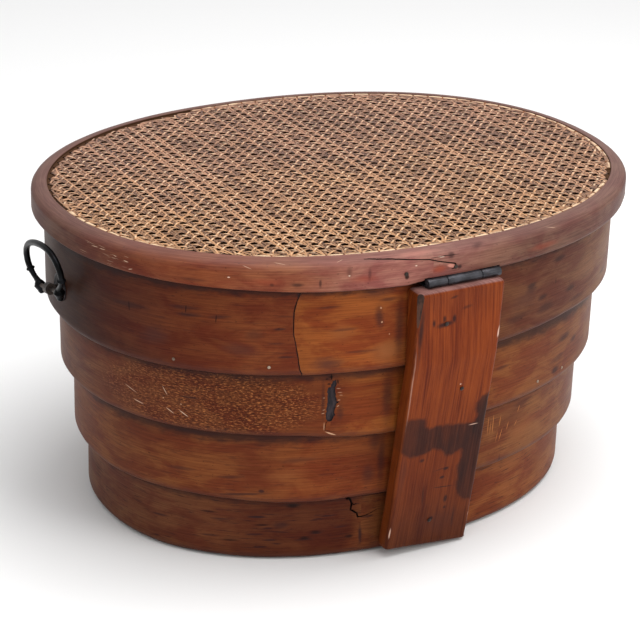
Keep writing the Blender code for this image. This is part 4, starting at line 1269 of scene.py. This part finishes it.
# %% Write the batten's finish
def plank_finish():
    """Straight grain that runs up the plank, with its stains, smudges, worn spots, painted
    highlights, painted shade on its left side and bare ledge.
    """
    made = Finish("plank wood")
    x, y, z = made.split(made.body_place())
    lean = made.plus(z, 0.171, y)
    side = made.plus(lean, 0.8, x)
    place = made.pack(z, side)
    spot = made.pack(x, z)
    streak = made.threads(place, (7, 360, 1), (3, 1, 0), 6, 0.72, 0.5)
    fibre = made.threads(place, (30, 1500, 1), (0, 0, 0), 3, 0.6)
    cloud = made.threads(place, (9, 30, 1), (1, 4, 0), 5, 0.6, 0.3)
    fray = made.threads(spot, (110, 70, 1), (0, 0, 0), 5, 0.65)
    height_share = made.times(z, 1 / 0.31)
    stops = [
        (0.0, paint(84, 41, 24)), (0.12, paint(88, 41, 23)), (0.3, paint(105, 47, 23)),
        (0.6, paint(118, 53, 23)), (0.85, paint(127, 57, 25)), (1.0, paint(120, 56, 30)),
    ]
    base = made.ramp(height_share, stops)
    tone = made.plus(streak, 1.5, made.plus(fibre, 0.6, made.times(cloud, 0.9)))
    tone = made.rise(tone, 1.1, 1.95)
    base = made.tint(base, 0.92, 0.82, 0.62)
    deep = made.tint(base, 0.52, 0.36, 0.40)
    bright = made.tint(base, 1.42, 1.62, 1.45)
    colour = made.mix(tone, deep, bright)
    purple = (
        (-44, 100, 6, 40, 0, 0.4, 0.9), (10, 33.6, 30, 24, 0, 0.35, 0.9),
        (-46, 241.9, 3, 60, 0, 0.3, 0.9),
    )
    colour = made.mix(made.blots(spot, fray, metres(purple)), colour, paint(70, 36, 29))
    outline = made.node("Attribute", {}, out="Fac", attribute_name="stain")
    outline = made.plus(fray, 9.0, made.minus(outline, 4.5))
    outline = made.plus(streak, 7.0, made.minus(outline, 3.5))
    wet_mark = made.times(made.rise(outline, -2.8, 2.6), made.rise(cloud, 0.3, 0.65, 1.0, 0.78))
    colour = made.mix(wet_mark, colour, made.mix(tone, paint(34, 17, 14), paint(56, 28, 22)))
    spots = (
        (6, 98, 4.5, 2.6, 8, 0.85, 0.7), (2.9, 88, 4.2, 2.6, 0, 0.8, 0.7),
        (-24, 114.3, 4, 3, 0, 0.7, 0.8), (11.2, 60, 3.4, 6.4, 0, 0.8, 0.7),
        (12, 49, 2.2, 3, 0, 0.7, 0.7), (6, 75.7, 15, 0.8, -6, 0.8, 0.6),
        (0, 98.5, 12, 0.8, 8, 0.6, 0.6), (-16.5, 70, 1.6, 20, 4, 0.5, 0.8),
        (24, 34, 1.8, 16, 0, 0.5, 0.8), (-2, 38.2, 3.4, 3.4, 0, 0.9, 0.6),
        (-32, 271.5, 2.6, 6.2, 6, 0.85, 0.8), (-18.5, 268.5, 14, 4.2, 5, 0.9, 0.8),
        (-20.6, 274.5, 2.6, 5.6, 6, 0.8, 0.8), (-9.8, 272.5, 3, 6.6, 6, 0.85, 0.8),
        (4, 283, 8, 3, 10, 0.5, 0.9), (-12, 296, 6, 2, 10, 0.6, 0.8),
        (-45.2, 266, 4.2, 38, 0, 0.8, 0.9),
    )
    colour = made.mix(made.blots(spot, fray, metres(spots)), colour, paint(36, 22, 22))
    # pale worn spots on the front edges; the small blot at 28.7, 284.3 mm and the long faint line
    # down the left edge at 202 mm are painted highlights
    rubbed_and_glints = (
        (42.8, 249.5, 1.7, 8, -6, 0.95, 0.5), (28.7, 284.3, 1.6, 0.8, 0, 0.8, 0.6),
        (30, 145.6, 6.5, 0.6, 0, 0.9, 0.5), (-48.2, 30.5, 0.9, 8.5, 0, 0.95, 0.6),
        (43.2, 33, 0.9, 3, 0, 0.9, 0.5), (-48.5, 202.2, 1, 60, 0, 0.35, 0.8),
        (7, 197.2, 1.1, 1.1, 0, 0.9, 0.5),
    )
    flank = made.rise(x, plank_left + 0.0004, plank_left + 0.0016, 1.0, 0.0)
    in_front = made.rise(lean, -0.2145, -0.2130, 1.0, 0.0)
    rub_and_glints = made.times(made.blots(spot, fray, metres(rubbed_and_glints)), in_front)
    colour = made.mix(rub_and_glints, colour, paint(210, 172, 152))
    # painted shade: the left side of the plank is painted darker than its front
    shaded_flank_wood = made.mix(tone, paint(70, 28, 10), paint(118, 54, 16))
    colour = made.mix(made.times(flank, 0.7), colour, shaded_flank_wood)
    ledge = made.rise(z, plank_top - 0.0026, plank_top - 0.0010)
    colour = made.mix(ledge, colour, made.mix(tone, paint(92, 58, 52), paint(144, 104, 98)))
    wet = made.plus(cloud, 0.25, 0.30)
    wet = made.plus(ledge, 0.3, wet)
    height = made.plus(streak, 0.5, made.times(fibre, 0.4))
    return made.finish(colour, wet, height, 0.0006, 0.5, gloss=0.08)


dress(plank, plank_finish(), "box", ["hinge_batten"], 40)

# %% [markdown]
# ## The woven cane
# The panel is woven by hand from split cane, 2.3 mm wide: pairs of strands run along the box and
# across it, 12.7 mm apart, and single strands run on both diagonals. One diagonal dives under a
# pair where the other climbs over it, and what is left open is a small eight-sided hole between
# the pairs. Two thousand crossings are no work for hand tools: a function lays one strand along
# its line, with its ups and downs, and its ends drawn into the nearest drilled holes.

# %% Lay one strand
pitch = 0.0127
slant_wide, straight_wide, strand_thick = 0.0023, 0.0021, 0.00060
apart = 0.00185
weave_z = 0.33955
layer = 0.00055
end_pull, end_settle, end_dive, dive_deep = 0.016, 0.009, 0.0030, 0.0042
hole_ring = np.column_stack((hole_x, hole_y))
strand_section = (
    (-1.0, -0.10), (-0.72, 0.34), (0.0, 0.50), (0.72, 0.34), (1.0, -0.10), (0.0, -0.50)
)


def run_inside(start, way):
    """Where a line from start along way enters and leaves the ring of holes."""
    far = np.linspace(-0.45, 0.45, 3601)
    x, y = start[0] + way[0] * far, start[1] + way[1] * far
    power = 2 / oval_power
    within = np.abs(x / hole_half[0]) ** power + np.abs(y / hole_half[1]) ** power < 1
    return (far[within][0], far[within][-1]) if within.sum() > 40 else None


def lay_strand(start, way, rise_at, beat, number, gaps, wide):
    """Centre points, half widths and heights of a strand as one or more runs."""
    ends = run_inside(start, way)
    if ends is None:
        return []
    side = (-way[1], way[0])
    count = int((ends[1] - ends[0]) / beat) + 1
    far = np.linspace(ends[0], ends[1], count)
    height = weave_z + rise_at(far)
    stray = np.array([field.noise(Vector((s * 30, number * 3.1, 5.0))) for s in far]) * 0.0005
    x = start[0] + way[0] * far + side[0] * stray
    y = start[1] + way[1] * far + side[1] * stray
    for end, toward in ((0, far - ends[0]), (-1, ends[1] - far)):
        near = np.clip(1 - toward / end_pull, 0, 1)
        pull = near * near * (3 - 2 * near)
        gap = np.hypot(hole_ring[:, 0] - x[end], hole_ring[:, 1] - y[end])
        hole = hole_ring[np.argmin(gap)]
        dx, dy = hole[0] - x[end], hole[1] - y[end]
        x, y = x + pull * dx, y + pull * dy
        settle_share = np.clip(1 - toward / end_settle, 0, 1)
        height = height + (weave_z + 0.0002 - height) * settle_share * 0.8
        height = height - dive_deep * np.clip(1 - toward / end_dive, 0, 1) ** 1.5
    uneven = 1 + 0.10 * field.noise(Vector((number * 5.7, 1.1, 0.4)))
    half_wide = 0.5 * wide * uneven * np.ones(count)
    line = np.column_stack((x, y, height))
    runs, keep = [], np.ones(count, bool)
    for low, high in gaps:
        keep &= ~((far > low) & (far < high))
    edges = np.flatnonzero(np.diff(np.concatenate(([0], keep.astype(int), [0]))))
    for first, last in zip(edges[::2], edges[1::2]):
        if last - first > 3:
            runs.append((line[first:last], half_wide[first:last], far[first:last]))
    return runs


print("strand helper ready")

# %% [markdown]
# The strands of one direction become one mesh, and the pairs two. Each strand has a map with the
# distance along it and across it, and a random tone of its own, so that no two are quite alike.

# %% Weave the four directions
def weave(name, starts, way, rise_at, beat, seed, wide, breaks=None, loose=()):
    """One mesh with all the strands of a direction, and any loose ends given as lines of points."""
    corners, faces, chart, tones = [], [], [], []
    random = np.random.default_rng(seed)
    ring = len(strand_section)
    total = 0
    jobs = []
    for number, start in enumerate(starts):
        gaps = (breaks or {}).get(number, ())
        jobs.append(lay_strand(start, way, rise_at(start), beat, number + 100 * seed, gaps, wide))
    for points in loose:
        line = np.array(points, float)
        far = np.concatenate(([0.0], np.cumsum(np.linalg.norm(np.diff(line, axis=0), axis=1))))
        jobs.append([(line, np.full(len(line), wide / 2), far)])
    for number, runs in enumerate(jobs):
        tone = random.random() if number < len(starts) else 1.6
        for line, half_wide, far in runs:
            ahead = np.gradient(line, axis=0)
            ahead /= np.linalg.norm(ahead, axis=1)[:, None]
            across = np.column_stack((-ahead[:, 1], ahead[:, 0], np.zeros(len(ahead))))
            across /= np.linalg.norm(across, axis=1)[:, None]
            up = np.cross(ahead, across)
            first = sum(len(c) for c in corners)
            rows = [
                line + across * (a * half_wide)[:, None] + up * (b * strand_thick)
                for a, b in strand_section
            ]
            corners.append(np.stack(rows, axis=1).reshape(-1, 3))
            n = len(line)
            total += far[-1] - far[0]
            for i in range(n - 1):
                for k in range(ring):
                    m = (k + 1) % ring
                    a, b = first + i * ring, first + (i + 1) * ring
                    faces.append((a + k, a + m, b + m, b + k))
                    u0, u1 = far[i] + number * 0.37, far[i + 1] + number * 0.37
                    v0, v1 = k / ring * 0.005, (k + 1) / ring * 0.005
                    chart += [(u0, v0), (u0, v1), (u1, v1), (u1, v0)]
            faces.append(tuple(first + k for k in range(ring))[::-1])
            faces.append(tuple(first + (n - 1) * ring + k for k in range(ring)))
            chart += [(far[0], 0.0)] * ring + [(far[-1], 0.0)] * ring
            tones += [tone] * (n * ring)
    mesh = bpy.data.meshes.new(name)
    mesh.from_pydata(np.concatenate(corners).tolist(), [], faces)
    grain = mesh.uv_layers.new(name="grain")
    grain.data.foreach_set("uv", np.array(chart, np.float32).ravel())
    tone_layer = mesh.attributes.new("tone", "FLOAT", "POINT")
    tone_layer.data.foreach_set("value", np.array(tones, np.float32))
    made = bpy.data.objects.new(name, mesh)
    bpy.context.scene.collection.objects.link(made)
    pick(made)
    bpy.ops.object.mode_set(mode="EDIT")
    turn_out()
    print(name, round(total, 1), "m of cane,", len(faces), "faces")
    return made


slant = math.sqrt(0.5)
slant_beat, straight_beat = pitch * slant / 4, pitch / 6


def diagonal_rise(turned):
    """Height along a diagonal: it dives and climbs once in every two crossings."""

    def rise_at(start):
        first = start[0] / pitch
        return lambda far: turned * layer * np.clip(
            1.2 * np.cos(2 * math.pi * (first - 0.5 + far * slant / pitch)), -1, 1
        )

    return rise_at


def straight_rise(axis, sign):
    """Height along a straight strand: half a layer down or up where it meets the other set."""

    def rise_at(start):
        return lambda far: sign * 0.5 * layer * np.clip(
            0.5 + 1.3 * np.cos(2 * math.pi * (start[axis] + far) / pitch), 0, 1
        )

    return rise_at


rows_x, rows_y = int(rim_half[1] / pitch) + 1, int(rim_half[0] / pitch) + 1
half_count = 46
diagonal_starts = [((k + 0.5) * pitch, 0.0) for k in range(-half_count, half_count)]


def gap_at(x, y, sense, reach=0.0062):
    """Which diagonal passes a place on the lid, and the stretch of it that is missing there."""
    number = round((x - sense * y) / pitch - 0.5) + half_count
    far = sense * y / slant
    return number, [(far - reach, far + reach)]


broken_rising = dict(
    gap_at(x, y, 1) for x, y in ((-0.223, -0.027), (0.251, -0.083), (0.030, 0.060))
)
broken_falling = dict(
    gap_at(x, y, -1) for x, y in ((0.144, 0.123), (-0.135, -0.161), (0.241, -0.092))
)
stub = [
    [
        (-0.2285, -0.0305, weave_z + 0.0003), (-0.2245, -0.0280, weave_z + 0.0024),
        (-0.2200, -0.0252, weave_z + 0.0028), (-0.2160, -0.0228, weave_z + 0.0022),
    ]
]
strands = {
    "rising": weave(
        "cane_rising_strands", diagonal_starts, (slant, slant), diagonal_rise(-1),
        slant_beat, 1, slant_wide, broken_rising, stub,
    ),
    "falling": weave(
        "cane_falling_strands", diagonal_starts, (slant, -slant), diagonal_rise(1),
        slant_beat, 2, slant_wide, broken_falling,
    ),
}
for n, off in ((1, -apart), (2, apart)):
    long_starts = [(0.0, j * pitch + off) for j in range(-rows_x, rows_x + 1)]
    cross_starts = [(i * pitch + off, 0.0) for i in range(-rows_y, rows_y + 1)]
    for word, starts, way, rise_at, seed in (
        ("long_%d", long_starts, (1, 0), straight_rise(0, -1), 2 + n),
        ("cross_%d", cross_starts, (0, 1), straight_rise(1, 1), 4 + n),
    ):
        name = "cane_%s_strands_%d" % (word[:-3], n)
        strands[word % n] = weave(name, starts, way, rise_at, straight_beat, seed, straight_wide)

# %% [markdown]
# ## Old cane
# Split cane has a glossy skin with fine lines along it. Age has turned it from straw to tan,
# golden towards the hinge side and pinker in the middle, with patches of dirt. The low parts in
# the crossings are painted darker, as painted shade and dirt, the edges of each strand as painted
# shade, and the high tops get painted glints. The finish takes the tone of each strand, the lines
# along its map, and the place on the lid.

# %% Paint the cane
def cane_finish(name, shift, gold=0.0, dirt_and_shade=0.8):
    """Aged split cane, with painted glints on the high tops, painted shade and dirt low down, and
    painted shade at the strand edges.
    """
    made = Finish(name)
    place = made.grain_place()
    body = made.body_place()
    x, y, z = made.split(body)
    _, across, _ = made.split(place)
    tone = made.node("Attribute", {}, out="Fac", attribute_name="tone")
    line = made.threads(place, (30, 2600, 1), (shift, 0, 0), 3, 0.6)
    mottle = made.threads(place, (45, 300, 1), (shift, 3, 0), 5, 0.65)
    patch = made.noise(body, 7, 4, 0.6)
    spread = made.plus(y, -1.6, made.plus(x, -0.5, patch))
    warm = made.rise(spread, 0.25, 0.95)
    pale = made.mix(warm, paint(180, 132, 104), paint(194, 144, 100))
    dull = made.mix(warm, paint(86, 58, 47), paint(100, 66, 44))
    share = made.plus(tone, 0.55, made.plus(mottle, 0.9, made.times(line, 0.35)))
    colour = made.mix(made.rise(share, 0.50 - gold, 1.30 - gold), dull, pale)
    grime = made.threads(place, (110, 260, 1), (shift, 9, 0), 4, 0.7)
    colour = made.lay(colour, paint(64, 42, 34), grime, 0.52, 0.68, dirt_and_shade)
    glint = made.times(
        made.rise(z, weave_z + 0.0005, weave_z + 0.0009), made.rise(mottle, 0.42, 0.58)
    )
    colour = made.mix(made.times(glint, 0.75), colour, paint(236, 208, 172))
    # painted shade and dirt: the low parts, where strands dive in the crossings, are painted darker
    low = made.rise(z, weave_z - 0.0009, weave_z + 0.0001, dirt_and_shade, 0.0)
    colour = made.mix(low, colour, paint(48, 32, 27))
    # painted shade: the edges of each strand are painted darker
    side = made.rise(made.sum("PINGPONG", across, 0.00167), 0.0001, 0.0006, 0.5 * dirt_and_shade, 0.0)
    colour = made.mix(side, colour, paint(60, 40, 32))
    knot = made.threads(place, (9, 20, 1), (shift, 5, 0), 1)
    colour = made.lay(colour, paint(62, 38, 26), knot, 0.70, 0.74, 0.6)
    wet = made.plus(mottle, 0.3, 0.30)
    height = made.plus(line, 0.6, made.times(mottle, 0.4))
    return made.finish(colour, wet, height, 0.0002, 0.6, gloss=0.35)


cane_golds = (("rising", 0.12), ("falling", 0.06), ("long", -0.03), ("cross", -0.03))
cane_finishes = {
    word: cane_finish("cane " + word, 3.0 * n, gold) for n, (word, gold) in enumerate(cane_golds)
}
for word, piece in strands.items():
    piece.data.shade_smooth()
    dress(piece, cane_finishes[word.split("_")[0]], "lid", ["cane_panel"], 60)

# %% [markdown]
# ## The binder and its loops
# Over the drilled holes lies a flat binder of cane, held down by a small loop at each hole, so
# that it reads as a row of short blocks. It has come off in three places, where the fan-shaped
# ends of the strands show. The binder is bent like a hoop, and the loop is modelled once and
# copied.

# %% Bind the edge
binder_half = (rim_half[0] - 0.0165, rim_half[1] - 0.0165)
binder_round = walk(binder_half)[0][-1]
binder_low = 0.33915
binder_section = [
    (0.0004, binder_low), (0.0, binder_low + 0.0007), (0.0005, binder_low + 0.0013),
    (0.0021, binder_low + 0.0016), (0.0037, binder_low + 0.0013), (0.0042, binder_low + 0.0007),
    (0.0038, binder_low),
]


def binder_wave(far, height, inset, points):
    """The binder is pulled down at each loop and wanders a little between."""
    beat = np.cos(2 * math.pi * (far * holes / binder_round - 0.5))
    high = (height > binder_low + 0.0003) * -0.00035 * np.clip(beat, 0, 1) ** 3
    return 0 * far, 0.0003 * ripple(points, 0.02, 61), high + 0.0002 * ripple(points, 0.03, 62)


bare = [
    (far_at(binder_half, -0.243), far_at(binder_half, -0.187)),
    (far_at(binder_half, 0.236), far_at(binder_half, 0.262)),
]
bare.append((binder_round * 0.5 + 0.055, binder_round * 0.75 + 0.006))
cuts = sorted((a % binder_round, b % binder_round) for a, b in bare)
spans = [(cuts[n][1], cuts[(n + 1) % 3][0] + (binder_round if n == 2 else 0)) for n in range(3)]
binder_step = 0.0028
binders = []
for n, (a, b) in enumerate(spans, 1):
    name, count = "cane_binder_strip_%d" % n, int((b - a) / binder_step)
    binders.append(bend(name, binder_half, binder_section, count, (a, b), move=binder_wave))
print("binder in", len(binders), "runs")

# %% Tie the loops
bpy.ops.mesh.primitive_circle_add(vertices=6, radius=0.001, calc_uvs=False)
loops = bpy.context.object
loops.name = "cane_binder_loops"
section = [
    (-0.0008, 0.0), (-0.0006, 0.0003), (0.0, 0.0004), (0.0006, 0.0003), (0.0008, 0.0),
    (0.0, -0.0002),
]
arch = [
    (-0.0030, -0.0012), (-0.0026, 0.0003), (-0.0015, 0.0013), (0.0, 0.0016), (0.0015, 0.0013),
    (0.0026, 0.0003), (0.0030, -0.0012),
]
bpy.context.tool_settings.mesh_select_mode = (True, False, False)
edit_all()
for _ in arch[1:]:
    bpy.ops.mesh.extrude_region_move(TRANSFORM_OT_translate={"value": (0, 0, 0.001)})
bpy.ops.mesh.select_all(action="SELECT")
bpy.ops.mesh.fill_holes(sides=0)
bpy.ops.object.mode_set(mode="OBJECT")
one = []
for n, (out, up) in enumerate(arch):
    before, after = arch[max(n - 1, 0)], arch[min(n + 1, 6)]
    run = Vector((after[0] - before[0], after[1] - before[1])).normalized()
    one += [(along, out - run.y * lift, up + run.x * lift) for along, lift in section]
one = np.array(one)
loops.data.vertices.foreach_set("co", one.ravel())
every_place = (np.arange(holes) + 0.5) * binder_round / holes
loop_places = [p for p in every_place if not any(a - 0.002 < p < b + 0.002 for a, b in cuts)]
edit_all()
for _ in loop_places[1:]:
    bpy.ops.mesh.duplicate()
bpy.ops.object.mode_set(mode="OBJECT")
placed = []
for number, p in enumerate(loop_places):
    x, y = oval(binder_half, angle_at(binder_half, p), 0.0021)
    a, b = (oval(binder_half, angle_at(binder_half, p + d), 0.0021) for d in (-0.001, 0.001))
    run = np.array((b[0] - a[0], b[1] - a[1])) / math.hypot(b[0] - a[0], b[1] - a[1])
    out = np.array((run[1], -run[0]))
    swing = 0.25 * field.noise(Vector((number * 1.7, 0.3, 0.9)))
    flat_part = one[:, :1] * (run + swing * out) + one[:, 1:2] * (out - swing * run)
    placed.append(np.column_stack((flat_part + (x, y), one[:, 2] + binder_low)))
loops.data.vertices.foreach_set("co", np.concatenate(placed).ravel())
edit_all()
bpy.ops.uv.smart_project(angle_limit=1.15)
turn_out()
print("loops", len(loop_places))

# %% Paint the binder
binder_cane = cane_finish("cane binder", 21.0, 0.35, 0.45)
# the loops are painted dark brown, darker than the binder, as painted shade between its blocks
loop_cane = flat(86, 56, 36, 0.5)
for strip in binders:
    dress(strip, binder_cane, "lid", ["cane_binder"], 60)
dress(loops, loop_cane, "lid", ["cane_binder"], 60)

# %% [markdown]
# ## Old iron
# The hinge and the handles are blackened iron, worn to grey on the high places, with a little
# brown rust in the hollows. Blackened iron is not a mirror: it is part metal, fairly rough, and
# pitted.

# %% Write the iron recipe
def iron_finish(name, dark, light, rough=0.42, rust=0.25, gloss=0.5):
    """Blackened, worn iron."""
    made = Finish(name)
    place = made.body_place()
    cloud = made.noise(place, 90, 5, 0.6)
    pits = made.noise(place, 900, 3, 0.6)
    colour = made.mix(made.rise(cloud, 0.35, 0.68), dark, light)
    brown = made.noise(made.stretch(place, (1, 1, 1), (3, 2, 1)), 60, 5, 0.7)
    colour = made.lay(colour, paint(92, 50, 28), brown, 0.55, 0.72, rust)
    made.shader.inputs["Metallic"].default_value = 0.65
    wet = made.plus(cloud, 0.3, rough - 0.12)
    height = made.plus(pits, 0.5, cloud)
    return made.finish(colour, wet, height, 0.0004, 0.5, gloss)


hinge_iron = iron_finish("hinge iron", paint(42, 42, 46), paint(68, 68, 74), 0.42, 0.12)
bail_iron = iron_finish("bail iron", paint(10, 10, 11), paint(24, 25, 29), 0.32, 0.10, 0.2)
plate_iron = iron_finish("plate iron", paint(40, 36, 38), paint(62, 56, 58), 0.5, 0.2)
axle_iron = iron_finish("axle iron", paint(50, 42, 39), paint(86, 74, 67), 0.45, 0.35)
nail_iron = iron_finish("nail iron", paint(30, 25, 23), paint(66, 54, 48), 0.5, 0.5)
# the tacks are painted pale: painted glints standing in for the light on their small heads
tack_glint_iron = iron_finish("tack iron painted glint", paint(110, 92, 78), paint(168, 148, 128), 0.45, 0.3)
print("iron ready")

# %% [markdown]
# ## The hinge
# A butt hinge is two plates whose edges are rolled round one pin. Each plate starts as a thin
# block with its edges bevelled; the knuckles are short bored cylinders with softened ends, joined
# to their plate. The lower plate carries the two outer knuckles, the upper one the middle knuckle.

# %% Roll the hinge
leaf_low, leaf_high = 0.3056, 0.3144
leaf_thick, knuckle_r, bore_r = 0.0019, 0.0044, 0.00235
leaf_front, leaf_behind = -0.2512, -0.2280
leaf_middle, leaf_half = 0.003, 0.0405
screw_y, screw_step, screw_r = -0.2340, 0.028, 0.0036
knuckle_spans = ((-0.0375, -0.016), (-0.016, 0.022), (0.022, 0.0435))
knuckle_gap = 0.0003


def soften(piece, width):
    """Bevel the sharp edges of a piece."""
    pick(piece)
    soft = piece.modifiers.new("soft", "BEVEL")
    soft.width, soft.segments, soft.limit_method, soft.angle_limit = width, 2, "ANGLE", 1.0
    bpy.ops.object.modifier_apply(modifier=soft.name)


def block(x0, x1, y0, y1, z, tall):
    """A block between two x and two y, round a height."""
    middle, size = ((x0 + x1) / 2, (y0 + y1) / 2, z), (x1 - x0, y1 - y0, tall)
    bpy.ops.mesh.primitive_cube_add(size=1, location=middle, scale=size)
    bpy.ops.object.transform_apply(location=True, rotation=True, scale=True)
    return bpy.context.object


def bored_knuckle(x0, x1):
    """A cylinder about the hinge axis with a bore and softened ends."""
    middle, lying = ((x0 + x1) / 2, hinge_y, hinge_z), (0, math.pi / 2, 0)
    bpy.ops.mesh.primitive_cylinder_add(
        vertices=40, radius=knuckle_r, depth=x1 - x0, location=middle, rotation=lying
    )
    made = bpy.context.object
    bpy.ops.object.transform_apply(location=True, rotation=True, scale=True)
    choose(made, "polygons", lambda p: abs(p.normal.x) > 0.9)
    bpy.ops.mesh.inset(thickness=knuckle_r - bore_r)
    bpy.ops.mesh.bridge_edge_loops()
    turn_out()
    soften(made, 0.00035)
    return made


def hinge_plate(name, low, spans):
    """A leaf with its knuckles, screw holes, and nicks for the other leaf's knuckles."""
    middle = low + leaf_thick / 2
    left, right = leaf_middle - leaf_half, leaf_middle + leaf_half
    leaf = block(left, right, leaf_front, leaf_behind, middle, leaf_thick)
    leaf.name = name
    for n in (-1, 0, 1):
        place = (leaf_middle + screw_step * n, screw_y, low)
        bpy.ops.mesh.primitive_cylinder_add(
            vertices=24, radius=screw_r, depth=0.01, location=place
        )
        carve(leaf, bpy.context.object)
    for a, b in knuckle_spans:
        if (a, b) not in spans:
            carve(leaf, block(a - 0.0005, b + 0.0005, -0.2526, -0.2474, middle, 0.01))
    soften(leaf, 0.0003)
    for a, b in spans:
        carve(leaf, bored_knuckle(a + knuckle_gap, b - knuckle_gap), "UNION")
    return leaf


lower_leaf = hinge_plate("hinge_plate_lower", leaf_low, knuckle_spans[::2])
upper_leaf = hinge_plate("hinge_plate_upper", leaf_high - leaf_thick, knuckle_spans[1:2])
dress(lower_leaf, hinge_iron, "box", ["hinge_leaf_lower"], 35)
dress(upper_leaf, hinge_iron, "lid", ["hinge_leaf_upper"], 35)

# %% [markdown]
# ## The bails
# Each handle is a forged iron ring, open at the bottom, whose ends are drawn to balls that turn on
# a short bar. A bead is left where the bar thins. A curve with a radius at every point draws it:
# the radius grows and shrinks along the bar, and the curve is then made a mesh.

# %% Forge the bails
bail_thick, bail_wide, bail_high = 0.0032, 0.045, 0.047
bail_shares = (
    (0.552, -0.19, 0.1), (0.554, -0.184, 0.6), (0.558, -0.165, 0.95), (0.564, -0.13, 1.15),
    (0.574, -0.085, 1.3), (0.588, -0.045, 1.6), (0.605, 0, 1.85), (0.628, 0.045, 1.45),
    (0.66, 0.08, 1), (0.76, 0.145, 0.82), (0.88, 0.235, 0.86), (0.93, 0.29, 0.96),
    (0.942, 0.306, 1.3), (0.952, 0.319, 1.44), (0.962, 0.332, 1.3), (0.973, 0.352, 0.98),
    (0.988, 0.4, 0.98), (1, 0.47, 1), (0.985, 0.56, 1), (0.92, 0.7, 1), (0.8, 0.82, 1),
    (0.62, 0.915, 1), (0.33, 0.98, 1), (0, 1, 1),
)


def forge_bail(name, hang):
    """A bail as a curve in its own upright plane, made a mesh and hung in its frame."""
    rows = list(bail_shares) + [(-a, b, c) for a, b, c in bail_shares[-2::-1]]
    curve = bpy.data.curves.new(name, "CURVE")
    curve.dimensions, curve.use_fill_caps = "3D", True
    curve.bevel_depth, curve.bevel_resolution, curve.resolution_u = bail_thick, 5, 6
    line = curve.splines.new("BEZIER")
    line.bezier_points.add(len(rows) - 1)
    for point, (a, b, c) in zip(line.bezier_points, rows):
        point.co = (0.0, a * bail_wide, b * bail_high)
        point.radius = c
        point.handle_left_type = point.handle_right_type = "AUTO"
    drawn = bpy.data.objects.new(name, curve)
    bpy.context.scene.collection.objects.link(drawn)
    pick(drawn)
    bpy.ops.object.convert(target="MESH")
    made = bpy.context.object
    made.data.transform(hang)
    edit_all()
    bpy.ops.mesh.remove_doubles(threshold=0.00002)
    turn_out()
    return made


def rotated(degrees, axis):
    """A turn about an axis."""
    return Matrix.Rotation(math.radians(degrees), 4, axis)


lean = rotated(9, "Y")
left_turn = rotated(180, "Z") @ rotated(12, "X") @ lean
left_hang = Matrix.Translation((-0.3148, 0.003, 0.258)) @ left_turn
right_hang = Matrix.Translation((0.3148, 0.0, 0.258)) @ lean
for word, hang in (("left", left_hang), ("right", right_hang)):
    ring = forge_bail("iron_bail_" + word, hang)
    dress(ring, bail_iron, word + "_handle", ["handle_bail_" + word], 60)

# %% [markdown]
# ## The pieces that stay
# Nails, tacks, screws, pins, plates, washers, nuts and the floor of the box keep their CAD shapes
# and only get a finish. The floor is a board of straight, dry wood.

# %% Finish the carried-over pieces
def floor_finish():
    """A dry board with straight grain and joints between its planks."""
    made = Finish("floor board")
    x, y, z = made.split(made.body_place())
    plank_number = made.sum("FLOOR", made.times(y, 1 / 0.125))
    place = made.pack(made.plus(plank_number, 3.1, x), y, plank_number)
    streak = made.threads(place, (4, 90, 1), (0, 0, 0), 6, 0.6, 0.4)
    fibre = made.threads(place, (30, 900, 1), (0, 0, 0), 3)
    edge = made.sum("PINGPONG", y, 0.0625)
    seam = made.rise(edge, 0.0004, 0.0012, 1.0, 0.0)
    tone = made.rise(made.plus(streak, 1.0, made.times(fibre, 0.5)), 0.5, 1.1)
    colour = made.mix(tone, paint(52, 33, 22), paint(96, 66, 44))
    colour = made.mix(seam, colour, paint(24, 15, 10))
    height = made.plus(seam, -1.5, streak)
    return made.finish(colour, 0.72, height, 0.0006, 0.6)


def keep(names, material):
    """Give CAD nodes a finish of their own."""
    for name in names:
        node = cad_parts[name]
        node.data.materials.clear()
        node.data.materials.append(material)


keep(["base_board"], floor_finish())
keep([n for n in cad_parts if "nail" in n or "screw" in n], nail_iron)
keep([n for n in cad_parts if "tack" in n], tack_glint_iron)
keep(["hinge_pin"], hinge_iron)
for word in ("left", "right"):
    keep(["handle_%s_%s" % (part, word) for part in ("axle", "eye")], axle_iron)
    keep(["handle_%s_%s" % (part, word) for part in ("plate", "washer", "nut")], plate_iron)
unfinished = [n for n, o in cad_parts.items() if not o.hide_render and not o.data.materials]
print("shown CAD nodes without a finish", unfinished)
